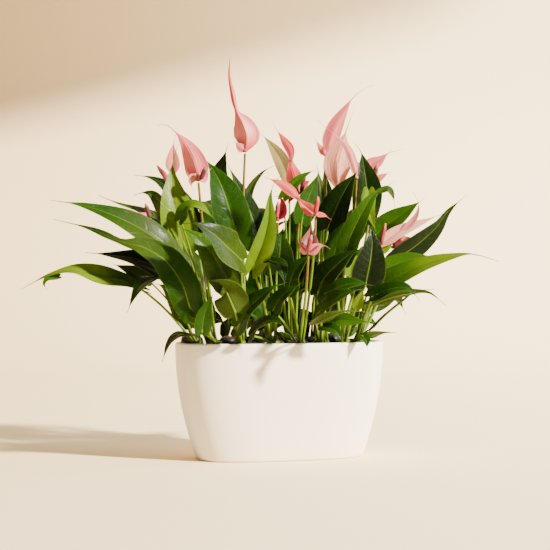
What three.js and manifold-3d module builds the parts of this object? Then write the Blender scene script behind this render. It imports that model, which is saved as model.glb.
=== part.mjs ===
// A lilli anthurium in bloom, in an oval glazed planter, in millimetres with +Z up.
// The origin is the middle of the planter's flat underside, and +X runs along its length.

import * as THREE from 'three';
import { mergeVertices } from 'three/addons/utils/BufferGeometryUtils.js';
import Module from 'manifold-3d';

const wasm = await Module();
wasm.setup();

// Planter
const planterHeight = 139;
const footHalfLength = 101;
const sideFlare = 51.8;
const sideEasing = 26.5;
const depthToLength = 0.48;
const ovalPower = 2.8;
const wallThickness = 5.5;
const floorThickness = 7;
const lipRounding = 2.4;
const lipFlat = 1.6;
const footRounding = 3.5;
const ovalSides = 32;

// Soil and pebbles
const soilTop = 125;
const fitGap = 0.4;
const pebbleSpacing = 26;
const pebbleLayer = 5;
const pebbleBed = 9;
const pebbleLift = 1;
const pebbleInset = 10.92;
const pebbleShares = [1, 0.85, 0.7, 0.55, 0.42];
const pebbleSeed = 7;

// Plant
const plantTurn = 0.278;
const eyeDistance = 1806;
const eyeHeight = 218.8;
const eyeShift = -5.9;
const crownSides = 6;
const crownEdge = 2.6;
const crownDepth = 22;
const holeGap = 0.6;
const crownAboveSoil = 16;
const rootHeight = 12;
const fullLean = 70;
const stalkRadius = 1.8;
const stalkSides = 4;
const stalkSteps = 3;
const stalkTip = 4;
const rootGap = 3.9;
const rootRounds = 60;
const leafReach = 0.4;
const bloomReach = 0.9;
const bladeThickness = 0.9;
const bladeStations = [0, 0.09, 0.27, 0.5, 0.76, 1];
const narrowBlade = 27;
const farDepth = 40;
const edgeWave = 0.08;
const spadixRadius = 2.7;
const collarRadius = 2.6;
const collarRises = [0, 1.6, 3.6];
const spadixRise = 1.8;
const budRadius = 2.9;
const touchGap = 0.35;

const glaze = new THREE.MeshStandardMaterial({ color: 0xf1ece2, roughness: 0.35, metalness: 0 });
const earth = new THREE.MeshStandardMaterial({ color: 0x2b2119, roughness: 0.95, metalness: 0 });
const riverStone = new THREE.MeshStandardMaterial({ color: 0x26221f, roughness: 0.4, metalness: 0 });
const leafGreen = new THREE.MeshStandardMaterial({ color: 0x3f6b1f, roughness: 0.4, metalness: 0 });
const spathePink = new THREE.MeshStandardMaterial({ color: 0xe58a86, roughness: 0.45, metalness: 0 });
const spadixRed = new THREE.MeshStandardMaterial({ color: 0xa8232f, roughness: 0.6, metalness: 0 });

const vector = (x, y, z) => new THREE.Vector3(x, y, z);
const mix = (a, b, t) => a + (b - a) * t;

// Closed skin through rings of points. The first and last ring may be a single point.
function loft(rings) {
  const points = rings.flat();
  const starts = [];
  rings.reduce((count, ring) => {
    starts.push(count);
    return count + ring.length;
  }, 0);
  const faces = [];
  for (let r = 0; r + 1 < rings.length; r++) {
    const low = rings[r].length;
    const high = rings[r + 1].length;
    const sides = Math.max(low, high);
    for (let i = 0; i < sides; i++) {
      const a = starts[r] + (i % low);
      const b = starts[r] + ((i + 1) % low);
      const c = starts[r + 1] + (i % high);
      const d = starts[r + 1] + ((i + 1) % high);
      if (low > 1) faces.push([a, b, d]);
      if (high > 1) faces.push([a, d, c]);
    }
  }
  return skin(points, faces);
}

function skin(points, faces) {
  const geometry = new THREE.BufferGeometry();
  geometry.setAttribute('position', new THREE.Float32BufferAttribute(points.flatMap((p) => [p.x, p.y, p.z]), 3));
  geometry.setIndex(faces.flat());
  return geometry;
}

function solidOf(geometry) {
  geometry.deleteAttribute('normal');
  geometry.deleteAttribute('uv');
  const merged = mergeVertices(geometry, 1e-4);
  return new wasm.Manifold(new wasm.Mesh({
    numProp: 3,
    vertProperties: new Float32Array(merged.attributes.position.array),
    triVerts: new Uint32Array(merged.index.array),
  }));
}

function largestPiece(solid) {
  return solid.decompose().sort((a, b) => b.volume() - a.volume())[0];
}

function meshOf(name, solid, material) {
  const { vertProperties, triVerts, numProp } = solid.getMesh();
  const geometry = new THREE.BufferGeometry();
  const count = vertProperties.length / numProp;
  const position = new Float32Array(count * 3);
  for (let i = 0; i < count; i++) {
    for (let k = 0; k < 3; k++) position[3 * i + k] = vertProperties[numProp * i + k];
  }
  geometry.setAttribute('position', new THREE.BufferAttribute(position, 3));
  geometry.setIndex([...triVerts]);
  const mesh = new THREE.Mesh(geometry, material);
  mesh.name = name;
  return mesh;
}

// Planter, soil and pebbles

function halfLengthAt(z) {
  const s = z / planterHeight;
  return footHalfLength + sideFlare * s - sideEasing * s * s;
}

function ovalRing(halfLength, z, inset = 0) {
  const ring = [];
  const halfDepth = halfLength * depthToLength;
  for (let i = 0; i < ovalSides; i++) {
    const angle = (i / ovalSides) * 2 * Math.PI;
    const c = Math.cos(angle);
    const s = Math.sin(angle);
    const x = Math.sign(c) * Math.abs(c) ** (2 / ovalPower) * (halfLength - inset);
    const y = Math.sign(s) * Math.abs(s) ** (2 / ovalPower) * (halfDepth - inset);
    ring.push(vector(x, y, z));
  }
  return ring;
}

function planterSolid() {
  const outside = [0.3, 0.55, 0.8].map((s) => s * planterHeight);
  const inside = [0.9, 0.5].map((s) => s * planterHeight);
  const shoulder = planterHeight - lipRounding;
  return solidOf(loft([
    [vector(0, 0, 0)],
    ovalRing(halfLengthAt(0), 0, footRounding),
    ovalRing(halfLengthAt(footRounding), footRounding, 0),
    ...outside.map((z) => ovalRing(halfLengthAt(z), z)),
    ovalRing(halfLengthAt(shoulder), shoulder),
    ovalRing(halfLengthAt(planterHeight), planterHeight, (wallThickness - lipFlat) / 2),
    ovalRing(halfLengthAt(planterHeight), planterHeight, (wallThickness + lipFlat) / 2),
    ovalRing(halfLengthAt(shoulder), shoulder, wallThickness),
    ...inside.map((z) => ovalRing(halfLengthAt(z), z, wallThickness)),
    ovalRing(halfLengthAt(floorThickness), floorThickness, wallThickness),
    [vector(0, 0, floorThickness)],
  ]));
}

function soilSolid(holes) {
  const levels = [floorThickness + fitGap, 0.5 * planterHeight, soilTop];
  const body = solidOf(loft([
    [vector(0, 0, levels[0])],
    ...levels.map((z) => ovalRing(halfLengthAt(z), z, wallThickness + fitGap)),
    [vector(0, 0, soilTop)],
  ]));
  return body.subtract(wasm.Manifold.union(holes));
}

// Small repeatable source of even random numbers between 0 and 1.
function seeded(seed) {
  let state = seed;
  return () => {
    state = (state * 16807) % 2147483647;
    return state / 2147483647;
  };
}

// A thin bed of gravel with river stones heaped on it, in two layers. A stone that would touch
// a stem is made smaller, or left out.
function pebblesSolid(holes, stems) {
  const random = seeded(pebbleSeed);
  const bedInset = wallThickness + fitGap + touchGap;
  const bedLow = soilTop + touchGap;
  const bedHigh = bedLow + pebbleBed;
  const bed = solidOf(loft([
    [vector(0, 0, bedLow)],
    ovalRing(halfLengthAt(bedLow), bedLow, bedInset),
    ovalRing(halfLengthAt(bedHigh), bedHigh, bedInset),
    [vector(0, 0, bedHigh)],
  ]));
  const inset = wallThickness + pebbleInset;
  const rim = halfLengthAt(planterHeight) - inset;
  const rimDepth = halfLengthAt(planterHeight) * depthToLength - inset;
  const stones = [];
  for (const layer of [0, 1]) {
    const height = bedHigh + pebbleLift + layer * pebbleLayer;
    for (let row = -2; row <= 2; row++) {
      for (let column = -4; column <= 4; column++) {
        const stagger = (row + layer) % 2 ? 0.5 : 0;
        const x = (column + stagger + mix(-0.15, 0.15, random())) * pebbleSpacing;
        const y = (row + mix(-0.1, 0.1, random())) * pebbleSpacing * 0.85;
        const z = height + mix(0, 1.5, random());
        const size = [mix(0.58, 0.7, random()), mix(0.46, 0.56, random()), mix(0.3, 0.38, random())];
        const turn = random() * Math.PI;
        if (Math.abs(x / rim) ** ovalPower + Math.abs(y / rimDepth) ** ovalPower > 1) continue;
        const free = pebbleShares.map((share) => {
          const stone = new THREE.IcosahedronGeometry(pebbleSpacing * share, 0);
          stone.scale(...size);
          stone.rotateZ(turn);
          stone.translate(x, y, z);
          return solidOf(stone);
        }).find((stone) => stems.every((stem) => stone.minGap(stem, 2 * touchGap) > touchGap));
        if (free) stones.push(free);
      }
    }
  }
  const heap = wasm.Manifold.union([bed.subtract(wasm.Manifold.union(holes)), ...stones]);
  const room = solidOf(loft([
    [vector(0, 0, bedLow)],
    ovalRing(halfLengthAt(bedLow), bedLow, bedInset),
    ovalRing(halfLengthAt(planterHeight), planterHeight + pebbleSpacing, bedInset),
    [vector(0, 0, planterHeight + pebbleSpacing)],
  ]));
  return largestPiece(heap.intersect(room));
}

// Plant: every place is laid out as the eye sees it on an upright sheet through the planter's
// middle, as [across, up, depth], and is carried along its line of sight to its depth.

function seen([x, z, depth]) {
  const spread = 1 + depth / eyeDistance;
  return vector((x - eyeShift) * spread + eyeShift, depth, eyeHeight + (z - eyeHeight) * spread);
}

// Tube through points, with a flat end or, where it is pointed, an end drawn to its last point.
function stalk(points, radiusAt, sides = stalkSides, pointed = false) {
  const last = points.length - 1;
  const rings = (pointed ? points.slice(0, last) : points).map((point, i) => {
    const ahead = points[Math.min(i + 1, last)];
    const behind = points[Math.max(i - 1, 0)];
    const along = ahead.clone().sub(behind).normalize();
    const side = along.clone().cross(vector(0, 1, 0)).normalize();
    const across = side.clone().cross(along);
    const radius = radiusAt(i / last);
    const ring = [];
    for (let k = 0; k < sides; k++) {
      const angle = (k / sides) * 2 * Math.PI;
      ring.push(point.clone()
        .addScaledVector(side, Math.cos(angle) * radius)
        .addScaledVector(across, -Math.sin(angle) * radius));
    }
    return ring;
  });
  return solidOf(loft([[points[0]], ...rings, [points[last]]]));
}

function towards(turn, lift) {
  const t = THREE.MathUtils.degToRad(turn);
  const l = THREE.MathUtils.degToRad(lift);
  return vector(Math.sin(t) * Math.cos(l), -Math.cos(t) * Math.cos(l), Math.sin(l));
}

const leafKind = { belly: 0.2, tail: 0.12, thread: 0.07, root: 0.76, lobes: 0.1, fold: 0.35 };
const spatheKind = { belly: 0.22, tail: 0.3, thread: 0.13, root: 0.2, lobes: 0, fold: 0.5 };

// Share of the greatest half width at s, from the stalk at 0 to the drip tip at 1.
function widthShare(blade, kind, s) {
  const belly = blade.belly ?? kind.belly;
  const tail = blade.tail ?? kind.tail;
  if (s < belly) return mix(kind.root, 1, Math.sin((s / belly) * (Math.PI / 2)));
  const fall = Math.min(1, (s - belly) / (1 - tail - belly));
  const threadShare = blade.thread ?? kind.thread;
  const thread = threadShare * (1 - s) / (1 - belly);
  const [pinchAt, pinch] = blade.pinch ?? [0, 0];
  const narrowing = 1 - pinch * Math.exp(-(((s - pinchAt) / 0.08) ** 2));
  return ((1 - threadShare) * Math.cos(fall * (Math.PI / 2)) ** 1.2 + thread) * narrowing;
}

// Point of a blade at s along its spine and c across it, from -1 to 1.
function bladePoint(blade, kind, curve, s, c) {
  const swept = s - kind.lobes * Math.sin(0.85 * Math.PI * Math.abs(c)) * (1 - s) ** 3;
  const on = curve.getPointAt(Math.max(swept, 0));
  const along = curve.getTangentAt(Math.min(Math.max(swept, 0), 0.999));
  if (swept < 0) on.addScaledVector(along, swept * curve.getLength());
  const end = blade.end ?? blade.face;
  const facing = towards(mix(blade.face[0], end[0], s), mix(blade.face[1], end[1], s));
  const normal = facing.addScaledVector(along, -facing.dot(along)).normalize();
  const across = normal.clone().cross(along);
  const half = (blade.wide / 2) * widthShare(blade, kind, s);
  const fold = blade.fold ?? kind.fold;
  const wave = (blade.wave ?? edgeWave) * half * Math.sin(9 * s + 2 * c) * c * c;
  const rise = half * fold * (Math.abs(c) - 0.5 * c * c) + wave;
  return on.addScaledVector(across, half * c * (1 - 0.12 * fold)).addScaledVector(normal, rise);
}

function spineOf(blade) {
  return new THREE.CatmullRomCurve3(blade.spine.map(seen), false, 'catmullrom', 0.5);
}

// A blade is a thin sheet, alike on both faces, closed round its margin.
function bladeSolid(blade, kind) {
  const curve = spineOf(blade);
  const narrow = blade.wide < narrowBlade || blade.spine[0][2] > farDepth;
  const columns = narrow ? [-1, 0, 1] : [-1, -0.5, 0, 0.5, 1];
  const stations = narrow ? [0, 0.15, 0.4, 0.7, 1] : bladeStations;
  const last = columns.length - 1;
  const tip = stations.length - 1;
  const middle = stations.map((s) => (
    s < 1 ? columns.map((c) => bladePoint(blade, kind, curve, s, c)) : [curve.getPointAt(1)]
  ));
  const normalAt = (r, k) => {
    const row = middle[Math.min(r, tip - 1)];
    const ahead = middle[Math.min(r + 1, tip)];
    const behind = middle[Math.max(Math.min(r, tip - 1) - 1, 0)];
    const along = (ahead[k] ?? ahead[0]).clone().sub(behind[k]);
    const across = row[Math.min(k + 1, last)].clone().sub(row[Math.max(k - 1, 0)]);
    return along.cross(across).normalize();
  };
  const points = [];
  const index = middle.map((row, r) => row.map((point, k) => {
    const shift = normalAt(r, r === tip ? last / 2 : k).multiplyScalar(bladeThickness / 2);
    points.push(point.clone().add(shift), point.clone().sub(shift));
    return points.length - 2;
  }));
  const faces = [];
  const face = (a, b, c) => faces.push([a, b, c], [a + 1, c + 1, b + 1]);
  const wall = (a, b) => faces.push([a, a + 1, b + 1], [a, b + 1, b]);
  for (let r = 0; r < tip; r++) {
    const near = index[r];
    const far = index[r + 1];
    for (let k = 0; k < last; k++) {
      if (r + 1 === tip) {
        face(near[k], far[0], near[k + 1]);
      } else if (k < last / 2) {
        face(near[k], far[k], near[k + 1]);
        face(near[k + 1], far[k], far[k + 1]);
      } else {
        face(near[k], far[k], far[k + 1]);
        face(near[k], far[k + 1], near[k + 1]);
      }
    }
  }
  const rim = [
    ...index.map((row) => row[0]),
    ...index.slice(0, tip).reverse().map((row) => row[last]),
    ...index[0].slice(1, last).reverse(),
  ];
  rim.forEach((a, i) => wall(a, rim[(i + 1) % rim.length]));
  return solidOf(skin(points, faces));
}

// A stalk rises from its crown and bends towards its blade. The reach is how far along that
// way its bend lies.
function stalkPath(root, base, reach, bow = [0, 0]) {
  const knee = vector(
    mix(root.x, base.x, reach) + bow[0],
    mix(root.y, base.y, reach) + bow[1],
    mix(root.z, base.z, 0.6),
  );
  return new THREE.QuadraticBezierCurve3(root, knee, base).getPoints(stalkSteps);
}

// Roots of a shoot's stalks in its crown: each on the side that its stalk leans to, and pushed
// apart until none overlap.
function rootsOf(crown, bases) {
  const reach = crownRadiusOf(bases.length) - crownEdge;
  const roots = bases.map((base, i) => {
    const lean = base.clone().sub(crown).setZ(0);
    lean.setLength(reach * Math.min(1, lean.length() / fullLean));
    return lean.add(vector(0.01 * i, 0, 0));
  });
  for (let round = 0; round < rootRounds; round++) {
    for (const root of roots) {
      for (const other of roots) {
        const apart = root.clone().sub(other);
        const overlap = rootGap - apart.length();
        if (other !== root && overlap > 0) root.add(apart.setLength(0.5 * overlap));
      }
      root.clampLength(0, reach);
    }
  }
  return roots.map((root) => root.add(crown).setZ(soilTop + rootHeight));
}

function crownRadiusOf(stalkCount) {
  return crownEdge + 0.52 * rootGap * Math.sqrt(stalkCount);
}

// The shoots, from the left end of the planter to the right. A crown is placed [along, across]
// the planter. A leaf has its greatest width, the way its upper side faces as [turn, lift] in
// degrees (0, 0 faces the eye and lift 90 faces up) at its base and, as end, at its tip, and
// its spine from the stalk to the drip tip. A bloom has its base and its spathe's blades.
const shoots = [
  {
    name: 'shoot_01',
    crown: [-103, -6],
    leaves: [
      { wide: 32, face: [-10, 62], end: [-10, 45], wave: 0.3, spine: [
        [-169, 203, -55], [-190, 213, -62], [-220, 218, -70], [-250, 224, -76], [-280, 218, -78],
        [-311, 202, -74]] },
      { wide: 9, face: [-10, 30], torn: true, spine: [
        [-266, 217, -78], [-279, 215, -81], [-284, 208, -83], [-280, 200, -84]] },
      { wide: 26, face: [-40, 30], spine: [
        [-145, 215, -76], [-157, 213, -88], [-168, 204, -96], [-177, 190, -101], [-184, 173, -102]] },
      { wide: 24, face: [-10, 40], spine: [
        [-158, 212, -34], [-172, 219, -38], [-186, 226, -42], [-203, 233, -46]] },
      { wide: 20, face: [-30, 70], spine: [
        [-106, 146, -54], [-122, 146, -60], [-134, 135, -64], [-142, 114, -66]] },
      { wide: 21, face: [0, 120], spine: [
        [-96, 156, -75], [-107, 162, -80], [-124, 168, -84]] },
    ],
    blooms: [],
  },
  {
    name: 'shoot_02',
    crown: [-84, -24],
    leaves: [
      { wide: 40, face: [-15, 35], end: [-10, 60], belly: 0.15, pinch: [0.6, 0.55], spine: [
        [-109, 182, -88], [-118, 208, -94], [-138, 236, -90], [-165, 252, -92], [-190, 258, -94],
        [-230, 275, -92], [-273, 286, -88]] },
      { wide: 44, face: [0, 150], spine: [
        [-104, 164, -43], [-121, 186, -43], [-138, 203, -40], [-153, 210, -36]] },
      { wide: 42, face: [-10, 50], spine: [
        [-118, 213, -40], [-145, 226, -50], [-175, 238, -58], [-205, 243, -60], [-235, 246, -58]] },
      { wide: 22, face: [20, 30], spine: [
        [-94, 150, -96], [-91, 170, -104], [-84, 188, -108], [-78, 200, -110]] },
    ],
    blooms: [],
  },
  {
    name: 'shoot_03',
    crown: [-78, 16],
    leaves: [
      { wide: 37, face: [-10, 45], belly: 0.3, bow: [6, 10], spine: [
        [-122, 236, -52], [-146, 260, -65], [-186, 284, -73], [-235, 302, -78], [-277, 309, -78]] },
      { wide: 32, face: [-10, 65], spine: [
        [-112, 258, 6], [-140, 279, 0], [-165, 294, -4], [-195, 305, -8], [-219, 315, -10]] },
      { wide: 26, face: [-10, 60], spine: [
        [-124, 264, -14], [-152, 279, -24], [-178, 291, -30], [-200, 301, -34]] },
      { wide: 34, face: [-60, 20], spine: [
        [-124, 272, 38], [-138, 297, 42], [-150, 313, 44], [-162, 318, 44], [-176, 315, 42]] },
      { wide: 26, face: [-10, 50], spine: [
        [-108, 298, 54], [-138, 326, 58], [-156, 336, 60], [-175, 339, 60]] },
      { wide: 46, face: [20, 0], tail: 0.25, spine: [
        [-116, 256, -30], [-124, 290, -34], [-129, 322, -30], [-129, 352, -22], [-121, 382, -14]] },
      { wide: 20, face: [0, 50], spine: [
        [-120, 286, -50], [-112, 301, -54], [-97, 302, -56], [-77, 284, -58]] },
      { wide: 42, face: [-10, 130], end: [-40, 80], spine: [
        [-88, 176, 50], [-100, 215, 74], [-112, 246, 104], [-124, 250, 136], [-138, 228, 162]] },
      { wide: 34, face: [0, 165], spine: [
        [-98, 158, 40], [-88, 166, 48], [-76, 166, 50], [-64, 158, 46]] },
      { wide: 40, face: [-40, 60], spine: [
        [-96, 262, 64], [-118, 292, 84], [-138, 302, 104], [-160, 290, 120]] },
    ],
    blooms: [
      { base: [-128, 338, 20], bow: [0, -2], spadix: [[-127, 343, 26], [-127, 362, 28]], blades: [
        { wide: 19, face: [0, 0], spine: [[-127, 341, 20], [-129, 358, 20], [-128, 376, 18], [-124, 392, 16]] }] },
      { base: [-132, 328, 10], bow: [0, 8], bud: [[-140, 340, 8], [-148, 351, 6]], blades: [] },
      { base: [-157, 283, -49], bow: [20, 26], spadix: [[-157, 289, -54], [-162, 305, -57]], blades: [
        { wide: 15, face: [0, 60], spine: [[-158, 286, -48], [-168, 291, -48], [-179, 297, -48]] }] },
      { base: [-98, 331, -46], spadix: [[-95, 335, -50], [-89, 349, -53]], bow: [4, 10], blades: [
        { wide: 31, face: [-20, 200], belly: 0.17, tail: 0.28, spine: [
          [-99, 333, -44], [-101, 347, -42], [-106, 362, -41], [-114, 377, -40], [-125, 390, -40],
          [-136, 399, -40], [-147, 399, -40]] },
        { wide: 14, face: [0, 0], spine: [[-97, 333, -43], [-90, 338, -41], [-82, 348, -40]] },
        { wide: 11, face: [0, 180], torn: true, spine: [[-101, 341, -43], [-107, 331, -46], [-104, 319, -47]] }] },
    ],
  },
  {
    name: 'shoot_04',
    crown: [-56, -26],
    leaves: [
      { wide: 42, face: [0, 160], end: [0, 70], spine: [
        [-54, 175, -104], [-62, 194, -112], [-68, 206, -106], [-73, 208, -88], [-76, 198, -68]] },
      { wide: 44, face: [0, 20], spine: [
        [-59, 208, -80], [-70, 225, -90], [-83, 246, -98], [-103, 266, -102], [-127, 280, -100]] },
      { wide: 46, face: [0, 30], spine: [
        [-47, 237, -96], [-62, 251, -116], [-80, 268, -130], [-100, 280, -138], [-117, 281, -142]] },
      { wide: 34, face: [0, 40], spine: [
        [-49, 158, -85], [-38, 178, -102], [-22, 193, -114], [-8, 204, -120], [9, 210, -122]] },
    ],
    blooms: [],
  },
  {
    name: 'shoot_05',
    crown: [-38, 17],
    leaves: [
      { wide: 46, face: [10, 15], tail: 0.28, belly: 0.28, spine: [
        [-48, 256, -20], [-57, 285, -34], [-67, 318, -36], [-80, 345, -26], [-98, 365, -14], [-118, 379, -6]] },
      { wide: 30, face: [-30, 0], belly: 0.4, spine: [
        [-62, 290, 20], [-70, 318, 24], [-72, 340, 26], [-67, 360, 26], [-62, 378, 26]] },
      { wide: 52, face: [0, 125], end: [0, 70], spine: [
        [-58, 160, 54], [-61, 205, 78], [-66, 244, 106], [-71, 252, 140], [-75, 232, 170]] },
      { wide: 40, face: [-10, 70], spine: [
        [-70, 272, 60], [-82, 300, 82], [-92, 306, 112], [-100, 286, 138]] },
      { wide: 34, face: [0, 165], spine: [
        [-56, 156, 56], [-42, 164, 68], [-26, 164, 79], [-8, 154, 86]] },
    ],
    blooms: [
      { base: [-42, 366, 5], spadix: [[-42, 371, 11], [-43, 394, 14]], bow: [-5, 0], blades: [
        { wide: 36, face: [0, 180], fold: 0.9, belly: 0.17, tail: 0.56, thread: 0.4, pinch: [0.45, 0.5], spine: [
          [-42, 368, 2], [-40, 386, 0], [-45, 402, 1], [-52, 416, 3], [-57, 437, 5], [-61, 460, 5], [-60, 482, 5]] },
        { wide: 12, face: [0, 180], spine: [[-43, 370, 3], [-50, 375, 1], [-58, 384, -2]] }] },
    ],
  },
  {
    name: 'shoot_06',
    crown: [-14, -28],
    leaves: [
      { wide: 30, face: [20, 0], fold: 0.8, belly: 0.16, tail: 0.2, spine: [
        [-33, 228, -70], [-21, 256, -78], [-14, 285, -82], [-12, 312, -80], [-6, 331, -76], [5, 341, -72]] },
      { wide: 24, face: [20, 50], spine: [
        [-14, 236, -66], [-2, 232, -80], [4, 218, -92], [6, 203, -98]] },
      { wide: 26, face: [0, 50], spine: [
        [-34, 146, -78], [-22, 160, -90], [-5, 164, -98], [8, 153, -102]] },
      { wide: 38, face: [0, 0], spine: [
        [-4, 222, -48], [0, 244, -56], [2, 266, -58], [6, 282, -54]] },
    ],
    blooms: [],
  },
  {
    name: 'shoot_07',
    crown: [-8, 15],
    leaves: [
      { wide: 26, face: [30, -10], spine: [
        [-26, 262, 20], [-35, 293, 22], [-46, 318, 24], [-56, 338, 26], [-66, 358, 28]] },
      { wide: 15, face: [-20, 10], spine: [
        [-34, 280, 50], [-39, 305, 54], [-34, 325, 56], [-20, 343, 56], [-3, 352, 54]] },
      { wide: 16, face: [0, 70], spine: [
        [-18, 254, 0], [-10, 270, -4], [2, 281, -6], [18, 286, -6]] },
      { wide: 54, face: [0, 125], end: [0, 70], spine: [
        [-16, 168, 56], [-16, 205, 82], [-15, 244, 112], [-15, 254, 146], [-17, 234, 174]] },
      { wide: 40, face: [-10, 80], spine: [
        [-20, 250, 62], [-26, 286, 82], [-30, 298, 110], [-34, 280, 138]] },
      { wide: 34, face: [0, 165], spine: [
        [-22, 156, 60], [-8, 164, 74], [8, 164, 82], [26, 154, 91]] },
    ],
    blooms: [],
  },
  {
    name: 'shoot_08',
    crown: [16, -27],
    leaves: [
      { wide: 26, face: [0, 45], spine: [
        [5, 142, -44], [3, 147, -54], [2, 152, -64]] },
      { wide: 28, face: [0, 40], spine: [
        [10, 200, -66], [16, 220, -76], [28, 235, -82], [38, 240, -84], [47, 237, -84]] },
      { wide: 26, face: [0, 40], spine: [
        [-8, 176, -84], [0, 190, -92], [12, 200, -98], [27, 210, -102]] },
    ],
    blooms: [
      { base: [34, 243, -104], spadix: [[34, 248, -110], [38, 267, -114]], blades: [
        { wide: 24, face: [0, 10], fold: 0.9, spine: [[34, 246, -102], [36, 262, -100], [38, 290, -101]] },
        { wide: 14, face: [0, 0], spine: [[37, 248, -105], [46, 253, -106], [54, 254, -106], [61, 250, -106]] },
        { wide: 12, face: [0, 0], spine: [[32, 248, -105], [26, 254, -106], [21, 263, -106]] }] },
      { base: [43, 289, -74], spadix: [[43, 294, -79], [46, 313, -83]], blades: [
        { wide: 15, face: [0, 0], tail: 0, spine: [[42, 292, -72], [35, 298, -71], [28, 304, -70], [20, 313, -70]] },
        { wide: 13, face: [0, 180], belly: 0.3, torn: true, spine: [
          [24, 309, -70], [13, 320, -70], [2, 328, -70], [-11, 334, -70], [-29, 342, -70]] },
        { wide: 9, face: [0, 40], spine: [[45, 292, -73], [54, 290, -74], [62, 285, -75]] }] },
    ],
  },
  {
    name: 'shoot_09',
    crown: [20, 20],
    leaves: [
      { wide: 32, face: [30, 0], spine: [
        [26, 285, -10], [33, 308, -12], [41, 328, -10], [48, 346, -8]] },
      { wide: 15, face: [0, 20], spine: [
        [4, 312, -30], [15, 326, -32], [28, 338, -32], [46, 347, -30]] },
      { wide: 20, face: [0, 0], belly: 0.35, spine: [
        [12, 330, 40], [2, 356, 46], [-11, 376, 48], [-26, 392, 46]] },
      { wide: 54, face: [0, 125], end: [0, 70], spine: [
        [22, 158, 56], [28, 204, 76], [31, 244, 104], [34, 254, 138], [38, 234, 168]] },
      { wide: 40, face: [0, 80], spine: [
        [20, 240, 68], [23, 280, 88], [26, 296, 116], [28, 280, 142]] },
      { wide: 34, face: [0, 165], spine: [
        [10, 156, 64], [24, 164, 78], [40, 164, 86], [58, 154, 94]] },
    ],
    blooms: [
      { base: [23, 315, 5], spadix: [[26, 320, 0], [30, 341, -3]], blades: [
        { wide: 24, face: [0, 180], tail: 0.05, spine: [
          [22, 318, 6], [18, 334, 6], [14, 350, 5], [13, 365, 4]] },
        { wide: 12, face: [0, 180], belly: 0.3, torn: true, spine: [
          [14, 356, 4], [12, 370, 4], [5, 381, 4], [-2, 391, 4], [-11, 406, 4]] },
        { wide: 16, face: [0, 0], tail: 0.1, spine: [[25, 318, 8], [30, 328, 10], [38, 334, 11]] },
        { wide: 11, face: [0, 180], torn: true, spine: [[20, 325, 6], [13, 311, 0], [5, 296, -4]] }] },
      { base: [-3, 283, -36], spadix: [[-4, 288, -41], [-2, 307, -43]], blades: [
        { wide: 18, face: [-40, 0], spine: [
          [-2, 286, -35], [4, 296, -34], [3, 308, -34], [-4, 313, -35], [-13, 314, -36]] }] },
    ],
  },
  {
    name: 'shoot_10',
    crown: [46, -27],
    leaves: [
      { wide: 40, face: [-20, 30], spine: [
        [46, 197, -48], [53, 214, -58], [69, 231, -64], [86, 245, -66], [104, 252, -66]] },
      { wide: 28, face: [0, 45], spine: [
        [54, 196, -72], [68, 203, -82], [90, 209, -88], [114, 206, -90]] },
      { wide: 30, face: [0, 45], spine: [
        [46, 172, -90], [60, 186, -106], [80, 197, -116], [102, 203, -118]] },
      { wide: 26, face: [0, 100], spine: [
        [44, 160, -98], [60, 168, -110], [80, 175, -118], [102, 175, -122]] },
      { wide: 26, face: [0, 40], spine: [
        [56, 160, -72], [72, 164, -84], [90, 163, -92], [112, 162, -96]] },
      { wide: 18, face: [0, 40], spine: [
        [52, 156, -100], [62, 154, -112], [71, 147, -118], [75, 133, -120]] },
    ],
    blooms: [],
  },
  {
    name: 'shoot_11',
    crown: [48, 15],
    leaves: [
      { wide: 16, face: [10, 0], spine: [
        [54, 292, 40], [50, 320, 44], [44, 352, 46]] },
      { wide: 16, face: [-10, 0], spine: [
        [60, 300, 56], [56, 325, 60], [52, 352, 62]] },
      { wide: 44, face: [-20, 20], spine: [
        [58, 276, 0], [71, 306, -6], [84, 330, -8], [98, 350, -6]] },
      { wide: 16, face: [0, 0], spine: [
        [84, 219, 0], [87, 230, 2], [93, 240, 4], [100, 245, 6]] },
      { wide: 46, face: [0, 125], end: [0, 70], spine: [
        [56, 162, 60], [61, 204, 92], [69, 244, 118], [75, 252, 150], [80, 232, 176]] },
      { wide: 40, face: [10, 80], spine: [
        [52, 242, 70], [60, 280, 90], [68, 294, 118], [74, 276, 142]] },
      { wide: 34, face: [0, 165], spine: [
        [46, 156, 66], [60, 164, 84], [76, 164, 94], [94, 154, 103]] },
    ],
    blooms: [
      { base: [56, 360, 30], spadix: [[58, 365, 36], [61, 385, 39]], blades: [
        { wide: 22, face: [0, 180], belly: 0.25, tail: 0.32, spine: [
          [57, 363, 29], [60, 380, 28], [67, 398, 28], [77, 416, 28], [87, 431, 28], [100, 442, 28], [114, 448, 28]] },
        { wide: 9, face: [0, 180], spine: [[54, 363, 28], [48, 373, 26], [40, 388, 26]] }] },
      { base: [70, 321, 18], spadix: [[70, 327, 25], [72, 350, 28]], blades: [
        { wide: 36, face: [0, 180], belly: 0.32, spine: [
          [70, 324, 15], [69, 350, 11], [75, 376, 11], [82, 399, 12], [89, 417, 14]] }] },
    ],
  },
  {
    name: 'shoot_12',
    crown: [74, -23],
    leaves: [
      { wide: 28, face: [0, 20], spine: [
        [64, 238, -30], [70, 258, -34], [82, 278, -36], [100, 294, -36]] },
      { wide: 28, face: [-10, 10], spine: [
        [78, 240, -44], [84, 262, -50], [96, 288, -54], [110, 311, -54], [122, 322, -52], [139, 332, -50]] },
      { wide: 9, face: [0, 30], tail: 0.4, torn: true, spine: [
        [121, 320, -52], [131, 322, -51], [137, 311, -50], [139, 291, -48]] },
      { wide: 14, face: [0, 0], spine: [
        [92, 180, -40], [97, 192, -44], [102, 204, -46]] },
      { wide: 42, face: [10, 5], spine: [
        [103, 206, -44], [109, 236, -50], [111, 262, -50], [106, 286, -46]] },
    ],
    blooms: [],
  },
  {
    name: 'shoot_13',
    crown: [78, 18],
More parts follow.
